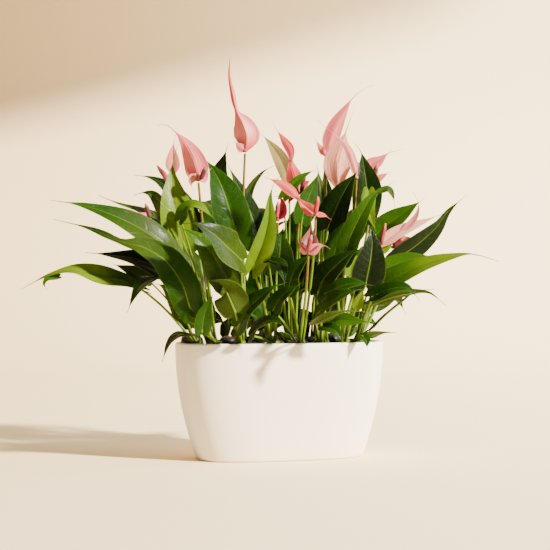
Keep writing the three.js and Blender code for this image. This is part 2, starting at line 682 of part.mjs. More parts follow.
    leaves: [
      { wide: 38, face: [0, 0], belly: 0.3, tail: 0.2, spine: [
        [102, 288, 20], [105, 318, 20], [102, 345, 20], [98, 366, 22], [87, 381, 24]] },
      { wide: 18, face: [0, 0], spine: [
        [107, 320, -6], [107, 302, -12], [111, 285, -16], [117, 267, -16]] },
      { wide: 32, face: [0, 30], spine: [
        [116, 268, 42], [133, 282, 40], [152, 295, 38], [175, 312, 36]] },
      { wide: 50, face: [10, 125], end: [20, 70], spine: [
        [92, 158, 60], [99, 204, 80], [104, 244, 106], [110, 252, 136], [118, 234, 160]] },
      { wide: 40, face: [10, 80], spine: [
        [84, 262, 78], [94, 288, 98], [102, 296, 122], [110, 278, 144]] },
      { wide: 34, face: [0, 165], spine: [
        [80, 156, 74], [94, 164, 94], [108, 164, 102], [122, 154, 104]] },
    ],
    blooms: [
      { base: [92, 334, 2], bow: [0, 10], spadix: [[93, 339, 6], [94, 355, 8]], blades: [
        { wide: 12, face: [0, 180], spine: [
          [91, 336, 1], [88, 354, -3], [80, 374, -6], [62, 391, -6], [43, 407, -4]] }] },
      { base: [112, 329, 36], spadix: [[112, 334, 31], [117, 352, 28]], blades: [
        { wide: 22, face: [0, 0], spine: [
          [111, 331, 38], [109, 348, 40], [120, 357, 40], [132, 366, 40], [148, 370, 40]] },
        { wide: 10, face: [0, 0], spine: [[115, 331, 36], [124, 338, 36], [138, 345, 36]] }] },
    ],
  },
  {
    name: 'shoot_14',
    crown: [96, 2],
    leaves: [
      { wide: 33, face: [10, 35], end: [10, 68], tail: 0.2, spine: [
        [114, 205, -20], [141, 217, -30], [172, 230, -36], [205, 240, -38], [232, 244, -38], [264, 235, -36]] },
      { wide: 32, face: [0, 45], spine: [
        [120, 221, 6], [141, 232, 8], [163, 239, 8], [192, 241, 6]] },
      { wide: 32, face: [40, 0], spine: [
        [138, 238, 44], [162, 253, 44], [188, 276, 40], [203, 296, 36], [226, 316, 32]] },
      { wide: 26, face: [0, 115], spine: [
        [112, 184, -14], [134, 192, -24], [157, 197, -30], [180, 197, -34], [200, 182, -38]] },
      { wide: 18, face: [0, 80], spine: [
        [113, 156, 10], [128, 171, 6], [148, 187, 2], [163, 199, -2], [186, 202, -6]] },
      { wide: 26, face: [0, 45], spine: [
        [114, 194, -52], [134, 202, -62], [153, 203, -68], [169, 188, -72]] },
      { wide: 21, face: [0, 110], spine: [
        [100, 142, -12], [113, 146, -18], [126, 149, -22], [140, 150, -26]] },
      { wide: 14, face: [0, 45], spine: [
        [98, 146, -36], [104, 141, -44], [105, 129, -50]] },
      { wide: 14, face: [0, 0], spine: [
        [122, 248, 34], [131, 257, 36], [142, 264, 38]] },
      { wide: 38, face: [20, 90], spine: [
        [112, 176, 58], [132, 190, 88], [142, 188, 112], [152, 172, 132]] },
    ],
    blooms: [
      { base: [121, 251, 20], bow: [0, 10], spadix: [[122, 257, 14], [127, 281, 10]], blades: [
        { wide: 18, face: [0, 20], tail: 0.2, spine: [
          [121, 254, 21], [137, 267, 22], [158, 277, 22], [180, 286, 22], [204, 296, 22]] },
        { wide: 9, face: [0, 0], torn: true, spine: [
          [145, 270, 22], [160, 284, 20], [167, 301, 18], [160, 321, 18]] }] },
      { base: [136, 250, 54], spadix: [[138, 254, 49], [149, 264, 46]], blades: [
        { wide: 21, face: [0, 10], tail: 0.15, spine: [[137, 252, 55], [150, 259, 56], [168, 263, 56]] }] },
    ],
  },
];

function crownCentre([along, across]) {
  const x = along * Math.cos(plantTurn) - across * Math.sin(plantTurn);
  const y = along * Math.sin(plantTurn) + across * Math.cos(plantTurn);
  return vector(x, y, soilTop);
}

// A leaf's stalk runs on into its blade, to a point in the midrib.
function leafPieces(leaf, root) {
  const blade = bladeSolid(leaf, leafKind);
  if (leaf.torn) return [blade];
  const spine = spineOf(leaf);
  const slim = leaf.wide < narrowBlade || leaf.spine[0][2] > farDepth;
  const radius = slim ? 0.75 * stalkRadius : stalkRadius;
  const path = stalkPath(root, spine.getPointAt(0), leafReach, leaf.bow);
  path.push(spine.getPointAt(stalkTip / spine.getLength()));
  return [stalk(path, (t) => mix(radius, 0.7 * radius, t), slim ? 3 : stalkSides, true), blade];
}

function peduncle(bloom, root) {
  const base = seen(bloom.base);
  const path = stalkPath(root, base, bloomReach, bloom.bow);
  const neck = path.pop().setZ(base.z - 1);
  path.push(neck, base.clone());
  return stalk(path, (t) => mix(stalkRadius, 0.8 * stalkRadius, t), stalkSides, true);
}

const basesOf = ({ leaves, blooms }) => [
  ...leaves.map((leaf) => seen(leaf.spine[0])),
  ...blooms.map((bloom) => seen(bloom.base)),
];

function crownSolid(shoot, levels, grown) {
  const crown = crownCentre(shoot.crown);
  const radius = crownRadiusOf(basesOf(shoot).length) + grown;
  return stalk(levels.map((z) => crown.clone().setZ(soilTop + z)), () => radius, crownSides);
}

function shootSolid(shoot) {
  const roots = rootsOf(crownCentre(shoot.crown), basesOf(shoot));
  return largestPiece(wasm.Manifold.union([
    crownSolid(shoot, [-crownDepth, crownAboveSoil], 0),
    ...shoot.leaves.flatMap((leaf, i) => leafPieces(leaf, roots[i])),
    ...shoot.blooms.map((bloom, i) => peduncle(bloom, roots[i + shoot.leaves.length])),
  ]));
}

// The spathe starts as a small collar just above its peduncle.
function spatheSolid(bloom) {
  const base = seen(bloom.base);
  if (bloom.bud) {
    const foot = base.clone().setZ(base.z + touchGap);
    const curve = new THREE.CatmullRomCurve3([foot, ...bloom.bud.map(seen)]);
    return stalk(curve.getPoints(5), (t) => 0.5 + budRadius * Math.sin(Math.PI * t ** 0.8) ** 0.8, 6);
  }
  const levels = collarRises.map((rise) => base.clone().setZ(base.z + touchGap + rise));
  const collar = stalk(levels, (t) => collarRadius * (0.75 + 0.25 * Math.sin(Math.PI * t)), 5);
  const blades = bloom.blades.map((blade) => {
    const from = blade.torn ? blade.spine[0] : [bloom.base[0], bloom.base[1] + 2, bloom.base[2]];
    return bladeSolid({ ...blade, spine: [from, ...blade.spine.slice(1)] }, spatheKind);
  });
  return wasm.Manifold.union([collar, ...blades]);
}

// A spadix springs from the side of its spathe's collar.
function spadixSolid(bloom) {
  const [low, high] = bloom.spadix.map(seen);
  const collar = seen(bloom.base);
  collar.z += touchGap + spadixRise;
  const lean = low.clone().sub(collar).setZ(0).setLength(collarRadius + 2 * touchGap);
  const points = [collar.add(lean), ...[0.08, 0.75, 1].map((t) => low.clone().lerp(high, t))];
  const girths = [0.25, 1, 1, 0.5];
  return stalk(points, (t) => spadixRadius * girths[Math.round(3 * t)], 5);
}

const plant = new THREE.Group();
plant.rotation.z = -plantTurn;
let bloomCount = 0;
const shootSolids = shoots.map(shootSolid);
shoots.forEach((shoot, i) => {
  plant.add(meshOf(shoot.name, shootSolids[i], leafGreen));
  for (const bloom of shoot.blooms) {
    bloomCount += 1;
    const number = String(bloomCount).padStart(2, '0');
    plant.add(meshOf(`spathe_${number}`, spatheSolid(bloom), spathePink));
    if (bloom.spadix) plant.add(meshOf(`spadix_${number}`, spadixSolid(bloom), spadixRed));
  }
});

const turn = -THREE.MathUtils.radToDeg(plantTurn);
const holeLevels = [-crownDepth - touchGap, crownAboveSoil];
const holes = shoots.map((shoot) => crownSolid(shoot, holeLevels, holeGap).rotate([0, 0, turn]));
const stems = shootSolids.map((solid) => solid.rotate([0, 0, turn]));

const object = new THREE.Group();
object.add(meshOf('planter', planterSolid(), glaze));
object.add(meshOf('soil', soilSolid(holes), earth));
object.add(meshOf('pebbles', pebblesSolid(holes, stems), riverStone));
object.add(plant);

export default object;
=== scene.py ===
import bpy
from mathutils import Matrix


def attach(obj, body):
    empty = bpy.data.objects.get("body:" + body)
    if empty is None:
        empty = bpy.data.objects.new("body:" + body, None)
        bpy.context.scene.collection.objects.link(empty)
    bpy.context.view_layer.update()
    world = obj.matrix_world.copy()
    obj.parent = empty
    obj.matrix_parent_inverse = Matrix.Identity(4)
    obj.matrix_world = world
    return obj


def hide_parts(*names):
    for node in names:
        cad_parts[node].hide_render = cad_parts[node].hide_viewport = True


bl_info = {
    "name": "Potted Lilli Anthurium",
    "version": (1, 0, 0),
    "blender": (4, 5, 0),
    "location": "3D View > Sidebar > Anthurium",
    "description": "Dresses a lilli anthurium in its oval planter, and sets up its studio",
    "category": "Add Mesh",
}

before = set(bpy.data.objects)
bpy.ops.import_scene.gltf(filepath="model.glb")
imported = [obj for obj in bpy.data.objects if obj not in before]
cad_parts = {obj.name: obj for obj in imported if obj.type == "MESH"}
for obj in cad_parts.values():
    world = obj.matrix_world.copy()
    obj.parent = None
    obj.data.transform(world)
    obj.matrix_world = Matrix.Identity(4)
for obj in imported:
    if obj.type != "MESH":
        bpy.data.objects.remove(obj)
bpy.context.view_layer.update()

import math

import bpy
from bpy.props import FloatProperty, FloatVectorProperty, IntProperty, PointerProperty
from mathutils import Vector, kdtree

MM = 0.001

# Where the eye stands and its lens, in millimetres, and how far the planter is turned from it, in
# radians.
PLANT_TURN = 0.278
EYE_DISTANCE = 1806
EYE_HEIGHT = 218.8
EYE_SHIFT = -5.9
LENS = 98.18

# Planter, soil and pebbles, as in the solids: lengths in millimetres, the rest shares and powers.
SIDE_EASING = 26.5
OVAL_POWER = 2.8
DEPTH_TO_LENGTH = 0.48
FLOOR_THICKNESS = 7
FOOT_ROUNDING = 3.5
SOIL_TOP = 125
PEBBLE_SPACING = 26
PEBBLE_LAYER = 5
PEBBLE_BED = 9
PEBBLE_LIFT = 1
PEBBLE_INSET = 10.92
PEBBLE_SHARES = (1, 0.85, 0.7, 0.55, 0.42)
PEBBLE_SEED = 7
TOUCH_GAP = 0.35

# The bed under the pebbles and the fineness of the meshes, lengths in millimetres.
BED_GAP = 0.75
BED_ROUGHNESS = 0.8
BED_RINGS = (0.5, 1, 1, 0.96, 0.85, 0.72, 0.58, 0.44, 0.3, 0.15)
GRIT_SEED = 31
CORNER_FOUND = 0.2
PLANTER_SIDES = 144
BED_SIDES = 120
WELD = 0.002

# Edges sharper than this, in degrees, stay sharp.
SHARP_ANGLE = 50

# Plant, as in the solids: lengths in millimetres, the rest shares and counts.
CROWN_EDGE = 2.6
CROWN_DEPTH = 22
CROWN_ABOVE_SOIL = 16
CROWN_PACKING = 0.52
ROOT_HEIGHT = 12
ROOT_ROUNDS = 60
FULL_LEAN = 70
KNEE_HEIGHT = 0.6
STALK_TIP = 4
ROOT_GAP = 3.9
LEAF_REACH = 0.4
BLOOM_REACH = 0.9
NARROW_BLADE = 27
FAR_DEPTH = 40
EDGE_WAVE = 0.08
FOLD_DRAWN_IN = 0.12
LOBE_TURN = 0.85
TIP_EASING = 1.2
PINCH_REACH = 0.08
STALK_TAPER = 0.7
PEDUNCLE_TAPER = 0.8
LOBE_RISE = 2
COLLAR_RADIUS = 2.6
COLLAR_RISE = 3.6
SPADIX_RISE = 1.8
BUD_RADIUS = 2.9

# The joint where a leaf stalk meets its blade, and its flare at the crown.
JOINT_PLACE = 0.93
JOINT_REACH = 0.04
JOINT_SWELL = 0.18
STALK_FLARE = 0.45

# Fine forms of the crown, the midribs and the rolled bud: lengths in millimetres, the rest shares
# and counts.
CROWN_FOLDS = 5
CROWN_FOLD_DEPTH = 0.35
FULL_RIB_WIDTH = 30
RIB_REACH = 0.94
BUD_WRAP = 0.35

# Florets on a spadix, in rows along it and columns round it, and their height in millimetres.
FLORET_ROWS = 22
FLORET_COLUMNS = 9
FLORET_HEIGHT = 0.28

# What a leaf and a spathe have unless their row says otherwise, all as shares: where the blade is
# widest, the length of its narrow tail and how wide that is, how wide the blade is at its root,
# how far its lobes reach back past the stalk, and how deeply it is folded along its midrib.
LEAF_KIND = dict(belly=0.2, tail=0.12, thread=0.07, root=0.76, lobes=0.1, fold=0.35)
SPATHE_KIND = dict(belly=0.22, tail=0.3, thread=0.13, root=0.2, lobes=0, fold=0.5)

# Colours along leaves and spathes, as linear red, green and blue, and the share of the light that
# they let through.
TONES = {
    "deep": (0.002, 0.007, 0.0005, 0.03),
    "dark": (0.004, 0.016, 0.0006, 0.05),
    "mid": (0.010, 0.040, 0.0008, 0.09),
    "bright": (0.030, 0.088, 0.0015, 0.16),
    "lime": (0.110, 0.180, 0.003, 0.24),
    "olive": (0.024, 0.046, 0.002, 0.08),
    "brown": (0.022, 0.028, 0.003, 0.05),
    "pale": (0.050, 0.082, 0.014, 0.10),
    "bronze": (0.330, 0.240, 0.100, 0.20),
    "stem": (0.100, 0.175, 0.006, 0.08),
    "sheath": (0.065, 0.085, 0.010, 0.05),
    "rose": (0.680, 0.180, 0.190, 0.20),
    "blush": (0.760, 0.300, 0.270, 0.25),
    "salmon": (0.660, 0.115, 0.110, 0.20),
    "coral": (0.520, 0.048, 0.044, 0.12),
    "scarlet": (0.600, 0.022, 0.012, 0.06),
    "crimson": (0.120, 0.003, 0.006, 0.04),
    "magenta": (0.420, 0.030, 0.050, 0.12),
    "peach": (0.750, 0.330, 0.210, 0.25),
    "cream": (0.800, 0.470, 0.360, 0.28),
    "mauve": (0.180, 0.055, 0.042, 0.10),
    "ochre": (0.130, 0.080, 0.012, 0.08),
}

# Colours of fine detail, some laid over the main colour and some multiplied with it.
GLAZE_SPECK = (0.45, 0.38, 0.30)
STONE_GRAIN = (0.16, 0.13, 0.11)
BED_TINT = (0.9, 0.8, 0.7, 1)
LEAF_SHADE = (0.62, 0.72, 0.5)
LEAF_LIGHT = (1.35, 1.25, 1.1)
LEAF_UNDERSIDE = (0.035, 0.060, 0.005)
STALK_STREAK = (1.3, 1.25, 1.0)
STALK_FLECK = (0.08, 0.08, 0.03)
SPATHE_SHADE = (0.90, 0.62, 0.62)
SPATHE_VEIN = (0.92, 0.62, 0.62)
SPATHE_KEEL = (0.86, 0.50, 0.48)
# Painted shade in the gaps between a spadix's grains.
SPADIX_PAINTED_GAP_SHADE = (0.45, 0.35, 0.35)
SPADIX_END = (0.85, 0.45, 0.25)
# Painted shade: how much darker the paper is painted at the far left.
PAPER_PAINTED_SHADE_LEFT = (0.75, 0.68, 0.61)
PAPER_CLOUD = (0.95, 0.95, 0.95)
CARD_COLOUR = (0.30, 0.24, 0.18)

# The stage, in the plant's own frame, which faces the eye: lengths in millimetres, and the
# softness of the key light in degrees.
FLOOR_FRONT = -3200
FLOOR_BACK = 1500
BEND_RADIUS = 900
WALL_HEIGHT = 3600
HALF_BREADTH = 4200
KEY_WAY = Vector((-0.80, 0.46, -0.50))
KEY_SOFTNESS = 4
KEY_COLOUR = (1.0, 0.91, 0.78)
WINDOW_PLACE = Vector((2300, 500, 1500))
WINDOW_AIM = Vector((-200, 1500, 300))
WINDOW_BREADTH = 1500
WINDOW_COLOUR = (0.90, 0.95, 1.0)
AIR_COLOUR = (0.88, 0.93, 1.0, 1)
CARD_LOW = Vector((789, 1360, 1662))
CARD_HIGH = Vector((1713, 1360, 1924))
CARD_REACH = (-1.6, 1.7)
CARD_BREADTH = 1400

# The shoots, from the left end of the planter to the right. A crown is placed (along, across) the
# planter. Every other place is laid out as the eye sees it on an upright sheet through the
# planter's middle, as (across, up, depth). A leaf has its greatest width, the way its upper side
# faces as (turn, lift) at its base and, as end, at its tip, its tones and its spine. Some are
# pinched in, as (place, depth), some have a stalk that bows out, as (across, depth), and a torn
# one is the loose end of another leaf or lobe and has no stalk. A bloom is placed by the top of its
# stalk, a spadix by its two ends, and a rolled bud by its spine.
SHOOTS = [
    dict(
        crown=(-103, -6),
        leaves=[
            dict(wide=32, face=(-10, 62), end=(-10, 45), wave=0.3,
                 tones="olive bright lime lime lime lime", spine=[(-169, 203, -55),
                 (-190, 213, -62), (-220, 218, -70), (-250, 224, -76), (-280, 218, -78),
                 (-311, 202, -74)]),
            dict(wide=9, face=(-10, 30), torn=True, tones="bright", spine=[(-266, 217, -78),
                 (-279, 215, -81), (-284, 208, -83), (-280, 200, -84)]),
            dict(wide=26, face=(-40, 30), tones="dark", spine=[(-145, 215, -76),
                 (-157, 213, -88), (-168, 204, -96), (-177, 190, -101), (-184, 173, -102)]),
            dict(wide=24, face=(-10, 40), tones="olive", spine=[(-158, 212, -34),
                 (-172, 219, -38), (-186, 226, -42), (-203, 233, -46)]),
            dict(wide=20, face=(-30, 70), tones="brown", spine=[(-106, 146, -54),
                 (-122, 146, -60), (-134, 135, -64), (-142, 114, -66)]),
            dict(wide=21, face=(0, 120), tones="olive", spine=[(-96, 156, -75), (-107, 162, -80),
                 (-124, 168, -84)]),
        ],
        blooms=[],
    ),
    dict(
        crown=(-84, -24),
        leaves=[
            dict(wide=40, face=(-15, 35), end=(-10, 60), belly=0.15, pinch=(0.6, 0.55),
                 tones="mid mid olive dark olive", spine=[(-109, 182, -88), (-118, 208, -94),
                 (-138, 236, -90), (-165, 252, -92), (-190, 258, -94), (-230, 275, -92),
                 (-273, 286, -88)]),
            dict(wide=44, face=(0, 150), tones="olive bright", spine=[(-104, 164, -43),
                 (-121, 186, -43), (-138, 203, -40), (-153, 210, -36)]),
            # Its deep tone also paints the shade that the leaf above throws on it.
            dict(wide=42, face=(-10, 50), tones="deep", spine=[(-118, 213, -40),
                 (-145, 226, -50), (-175, 238, -58), (-205, 243, -60), (-235, 246, -58)]),
            dict(wide=22, face=(20, 30), tones="mid", spine=[(-94, 150, -96), (-91, 170, -104),
                 (-84, 188, -108), (-78, 200, -110)]),
        ],
        blooms=[],
    ),
    dict(
        crown=(-78, 16),
        leaves=[
            dict(wide=37, face=(-10, 45), belly=0.3, bow=(6, 10), tones="olive olive mid bright",
                 spine=[(-122, 236, -52), (-146, 260, -65), (-186, 284, -73), (-235, 302, -78),
                 (-277, 309, -78)]),
            dict(wide=32, face=(-10, 65), tones="brown olive", spine=[(-112, 258, 6),
                 (-140, 279, 0), (-165, 294, -4), (-195, 305, -8), (-219, 315, -10)]),
            # A leaf in the shade behind the leaves in front; its dark tone paints that shade.
            dict(wide=26, face=(-10, 60), tones="dark", spine=[(-124, 264, -14),
                 (-152, 279, -24), (-178, 291, -30), (-200, 301, -34)]),
            dict(wide=34, face=(-60, 20), tones="pale mid", spine=[(-124, 272, 38),
                 (-138, 297, 42), (-150, 313, 44), (-162, 318, 44), (-176, 315, 42)]),
            dict(wide=26, face=(-10, 50), tones="dark", spine=[(-108, 298, 54), (-138, 326, 58),
                 (-156, 336, 60), (-175, 339, 60)]),
            dict(wide=46, face=(20, 0), tail=0.25, tones="lime lime lime",
                 spine=[(-116, 256, -30), (-124, 290, -34), (-129, 322, -30), (-129, 352, -22),
                 (-121, 382, -14)]),
            dict(wide=20, face=(0, 50), tones="bright lime", spine=[(-120, 286, -50),
                 (-112, 301, -54), (-97, 302, -56), (-77, 284, -58)]),
            dict(wide=42, face=(-10, 130), end=(-40, 80), tones="mid", spine=[(-88, 176, 50),
                 (-100, 215, 74), (-112, 246, 104), (-124, 250, 136), (-138, 228, 162)]),
            dict(wide=34, face=(0, 165), tones="dark", spine=[(-98, 158, 40), (-88, 166, 48),
                 (-76, 166, 50), (-64, 158, 46)]),
            dict(wide=40, face=(-40, 60), tones="mid", spine=[(-96, 262, 64), (-118, 292, 84),
                 (-138, 302, 104), (-160, 290, 120)]),
        ],
        blooms=[
            dict(base=(-128, 338, 20), bow=(0, -2), spadix=((-127, 343, 26), (-127, 362, 28)),
                 spike="crimson", blades=[
                dict(wide=19, face=(0, 0), tones="rose blush blush", spine=[(-127, 341, 20),
                     (-129, 358, 20), (-128, 376, 18), (-124, 392, 16)]),
            ]),
            dict(base=(-132, 328, 10), bow=(0, 8), bud=[(-140, 340, 8), (-148, 351, 6)],
                 blades=[]),
            dict(base=(-157, 283, -49), bow=(20, 26),
                 spadix=((-157, 289, -54), (-162, 305, -57)), spike="crimson", blades=[
                dict(wide=15, face=(0, 60), tones="blush rose rose mauve",
                     spine=[(-158, 286, -48), (-168, 291, -48), (-179, 297, -48)]),
            ]),
            dict(base=(-98, 331, -46), bow=(4, 10), spadix=((-95, 335, -50), (-89, 349, -53)),
                 spike="crimson", blades=[
                dict(wide=31, face=(-20, 200), belly=0.17, tail=0.28,
                     tones="salmon rose rose salmon mauve", spine=[(-99, 333, -44),
                     (-101, 347, -42), (-106, 362, -41), (-114, 377, -40), (-125, 390, -40),
                     (-136, 399, -40), (-147, 399, -40)]),
                dict(wide=14, face=(0, 0), tones="rose", spine=[(-97, 333, -43), (-90, 338, -41),
                     (-82, 348, -40)]),
                dict(wide=11, face=(0, 180), torn=True, tones="peach", spine=[(-101, 341, -43),
                     (-107, 331, -46), (-104, 319, -47)]),
            ]),
        ],
    ),
    dict(
        crown=(-56, -26),
        leaves=[
            dict(wide=42, face=(0, 160), end=(0, 70), tones="pale olive",
                 spine=[(-54, 175, -104), (-62, 194, -112), (-68, 206, -106), (-73, 208, -88),
                 (-76, 198, -68)]),
            dict(wide=44, face=(0, 20), tones="olive bright", spine=[(-59, 208, -80),
                 (-70, 225, -90), (-83, 246, -98), (-103, 266, -102), (-127, 280, -100)]),
            dict(wide=46, face=(0, 30), tones="olive dark", spine=[(-47, 237, -96),
                 (-62, 251, -116), (-80, 268, -130), (-100, 280, -138), (-117, 281, -142)]),
            dict(wide=34, face=(0, 40), tones="mid", spine=[(-49, 158, -85), (-38, 178, -102),
                 (-22, 193, -114), (-8, 204, -120), (9, 210, -122)]),
        ],
        blooms=[],
    ),
    dict(
        crown=(-38, 17),
        leaves=[
            dict(wide=46, face=(10, 15), belly=0.28, tail=0.28, tones="mid",
                 spine=[(-48, 256, -20), (-57, 285, -34), (-67, 318, -36), (-80, 345, -26),
                 (-98, 365, -14), (-118, 379, -6)]),
            dict(wide=30, face=(-30, 0), belly=0.4, tones="mid", spine=[(-62, 290, 20),
                 (-70, 318, 24), (-72, 340, 26), (-67, 360, 26), (-62, 378, 26)]),
            dict(wide=52, face=(0, 125), end=(0, 70), tones="dark", spine=[(-58, 160, 54),
                 (-61, 205, 78), (-66, 244, 106), (-71, 252, 140), (-75, 232, 170)]),
            dict(wide=40, face=(-10, 70), tones="mid", spine=[(-70, 272, 60), (-82, 300, 82),
                 (-92, 306, 112), (-100, 286, 138)]),
            dict(wide=34, face=(0, 165), tones="dark", spine=[(-56, 156, 56), (-42, 164, 68),
                 (-26, 164, 79), (-8, 154, 86)]),
        ],
        blooms=[
            dict(base=(-42, 366, 5), bow=(-5, 0), spadix=((-42, 371, 11), (-43, 394, 14)),
                 spike="coral", blades=[
                dict(wide=36, face=(0, 180), belly=0.17, tail=0.56, thread=0.4, fold=0.9,
                     pinch=(0.45, 0.5), tones="coral blush rose salmon salmon mauve",
                     spine=[(-42, 368, 2), (-40, 386, 0), (-45, 402, 1), (-52, 416, 3),
                     (-57, 437, 5), (-61, 460, 5), (-60, 482, 5)]),
                dict(wide=12, face=(0, 180), tones="rose", spine=[(-43, 370, 3), (-50, 375, 1),
                     (-58, 384, -2)]),
            ]),
        ],
    ),
    dict(
        crown=(-14, -28),
        leaves=[
            dict(wide=30, face=(20, 0), belly=0.16, tail=0.2, fold=0.8, tones="lime bright",
                 spine=[(-33, 228, -70), (-21, 256, -78), (-14, 285, -82), (-12, 312, -80),
                 (-6, 331, -76), (5, 341, -72)]),
            dict(wide=24, face=(20, 50), tones="dark", spine=[(-14, 236, -66), (-2, 232, -80),
                 (4, 218, -92), (6, 203, -98)]),
            dict(wide=26, face=(0, 50), tones="dark", spine=[(-34, 146, -78), (-22, 160, -90),
                 (-5, 164, -98), (8, 153, -102)]),
            dict(wide=38, face=(0, 0), tones="dark mid", spine=[(-4, 222, -48), (0, 244, -56),
                 (2, 266, -58), (6, 282, -54)]),
        ],
        blooms=[],
    ),
    dict(
        crown=(-8, 15),
        leaves=[
            dict(wide=26, face=(30, -10), tones="dark", spine=[(-26, 262, 20), (-35, 293, 22),
                 (-46, 318, 24), (-56, 338, 26), (-66, 358, 28)]),
            dict(wide=15, face=(-20, 10), tones="pale", spine=[(-34, 280, 50), (-39, 305, 54),
                 (-34, 325, 56), (-20, 343, 56), (-3, 352, 54)]),
            dict(wide=16, face=(0, 70), tones="mid", spine=[(-18, 254, 0), (-10, 270, -4),
                 (2, 281, -6), (18, 286, -6)]),
            dict(wide=54, face=(0, 125), end=(0, 70), tones="mid", spine=[(-16, 168, 56),
                 (-16, 205, 82), (-15, 244, 112), (-15, 254, 146), (-17, 234, 174)]),
            dict(wide=40, face=(-10, 80), tones="dark", spine=[(-20, 250, 62), (-26, 286, 82),
                 (-30, 298, 110), (-34, 280, 138)]),
            dict(wide=34, face=(0, 165), tones="mid", spine=[(-22, 156, 60), (-8, 164, 74),
                 (8, 164, 82), (26, 154, 91)]),
        ],
        blooms=[],
    ),
    dict(
        crown=(16, -27),
        leaves=[
            dict(wide=26, face=(0, 45), tones="bright", spine=[(5, 142, -44), (3, 147, -54),
                 (2, 152, -64)]),
            dict(wide=28, face=(0, 40), tones="mid", spine=[(10, 200, -66), (16, 220, -76),
                 (28, 235, -82), (38, 240, -84), (47, 237, -84)]),
            dict(wide=26, face=(0, 40), tones="mid", spine=[(-8, 176, -84), (0, 190, -92),
                 (12, 200, -98), (27, 210, -102)]),
        ],
        blooms=[
            dict(base=(34, 243, -104), spadix=((34, 248, -110), (38, 267, -114)),
                 spike="magenta", blades=[
                # This lobe's mauve tone paints the shade that it lies in.
                dict(wide=24, face=(0, 10), fold=0.9, tones="mauve", spine=[(34, 246, -102),
                     (36, 262, -100), (38, 290, -101)]),
                dict(wide=14, face=(0, 0), tones="rose", spine=[(37, 248, -105), (46, 253, -106),
                     (54, 254, -106), (61, 250, -106)]),
                dict(wide=12, face=(0, 0), tones="rose", spine=[(32, 248, -105), (26, 254, -106),
                     (21, 263, -106)]),
            ]),
            dict(base=(43, 289, -74), spadix=((43, 294, -79), (46, 313, -83)), spike="scarlet",
                 blades=[
                dict(wide=15, face=(0, 0), tail=0, tones="rose salmon salmon mauve",
                     spine=[(42, 292, -72), (35, 298, -71), (28, 304, -70), (20, 313, -70)]),
                dict(wide=13, face=(0, 180), belly=0.3, torn=True, tones="salmon",
                     spine=[(24, 309, -70), (13, 320, -70), (2, 328, -70), (-11, 334, -70),
                     (-29, 342, -70)]),
                dict(wide=9, face=(0, 40), tones="salmon rose", spine=[(45, 292, -73),
                     (54, 290, -74), (62, 285, -75)]),
            ]),
        ],
    ),
    dict(
        crown=(20, 20),
        leaves=[
            dict(wide=32, face=(30, 0), tones="mid", spine=[(26, 285, -10), (33, 308, -12),
                 (41, 328, -10), (48, 346, -8)]),
            dict(wide=15, face=(0, 20), tones="bright", spine=[(4, 312, -30), (15, 326, -32),
                 (28, 338, -32), (46, 347, -30)]),
            dict(wide=20, face=(0, 0), belly=0.35, tones="bronze", spine=[(12, 330, 40),
                 (2, 356, 46), (-11, 376, 48), (-26, 392, 46)]),
            dict(wide=54, face=(0, 125), end=(0, 70), tones="dark", spine=[(22, 158, 56),
                 (28, 204, 76), (31, 244, 104), (34, 254, 138), (38, 234, 168)]),
            dict(wide=40, face=(0, 80), tones="mid", spine=[(20, 240, 68), (23, 280, 88),
                 (26, 296, 116), (28, 280, 142)]),
            dict(wide=34, face=(0, 165), tones="mid", spine=[(10, 156, 64), (24, 164, 78),
                 (40, 164, 86), (58, 154, 94)]),
        ],
        blooms=[
            dict(base=(23, 315, 5), spadix=((26, 320, 0), (30, 341, -3)), spike="crimson",
                 blades=[
                dict(wide=24, face=(0, 180), tail=0.05, tones="magenta coral coral salmon mauve",
                     spine=[(22, 318, 6), (18, 334, 6), (14, 350, 5), (13, 365, 4)]),
                dict(wide=12, face=(0, 180), belly=0.3, torn=True, tones="magenta coral",
                     spine=[(14, 356, 4), (12, 370, 4), (5, 381, 4), (-2, 391, 4),
                     (-11, 406, 4)]),
                dict(wide=16, face=(0, 0), tail=0.1, tones="coral", spine=[(25, 318, 8),
                     (30, 328, 10), (38, 334, 11)]),
                dict(wide=11, face=(0, 180), torn=True, tones="coral", spine=[(20, 325, 6),
                     (13, 311, 0), (5, 296, -4)]),
            ]),
            dict(base=(-3, 283, -36), spadix=((-4, 288, -41), (-2, 307, -43)), spike="magenta",
                 blades=[
                dict(wide=18, face=(-40, 0), tones="magenta", spine=[(-2, 286, -35),
                     (4, 296, -34), (3, 308, -34), (-4, 313, -35), (-13, 314, -36)]),
            ]),
        ],
    ),
    dict(
        crown=(46, -27),
        leaves=[
            dict(wide=40, face=(-20, 30), tones="dark", spine=[(46, 197, -48), (53, 214, -58),
                 (69, 231, -64), (86, 245, -66), (104, 252, -66)]),
            dict(wide=28, face=(0, 45), tones="mid", spine=[(54, 196, -72), (68, 203, -82),
                 (90, 209, -88), (114, 206, -90)]),
            dict(wide=30, face=(0, 45), tones="mid", spine=[(46, 172, -90), (60, 186, -106),
                 (80, 197, -116), (102, 203, -118)]),
            dict(wide=26, face=(0, 100), tones="pale", spine=[(44, 160, -98), (60, 168, -110),
                 (80, 175, -118), (102, 175, -122)]),
            dict(wide=26, face=(0, 40), tones="bright", spine=[(56, 160, -72), (72, 164, -84),
                 (90, 163, -92), (112, 162, -96)]),
            dict(wide=18, face=(0, 40), tones="mid", spine=[(52, 156, -100), (62, 154, -112),
                 (71, 147, -118), (75, 133, -120)]),
        ],
        blooms=[],
    ),
    dict(
        crown=(48, 15),
        leaves=[
            dict(wide=16, face=(10, 0), tones="pale", spine=[(54, 292, 40), (50, 320, 44),
                 (44, 352, 46)]),
            dict(wide=16, face=(-10, 0), tones="mid", spine=[(60, 300, 56), (56, 325, 60),
                 (52, 352, 62)]),
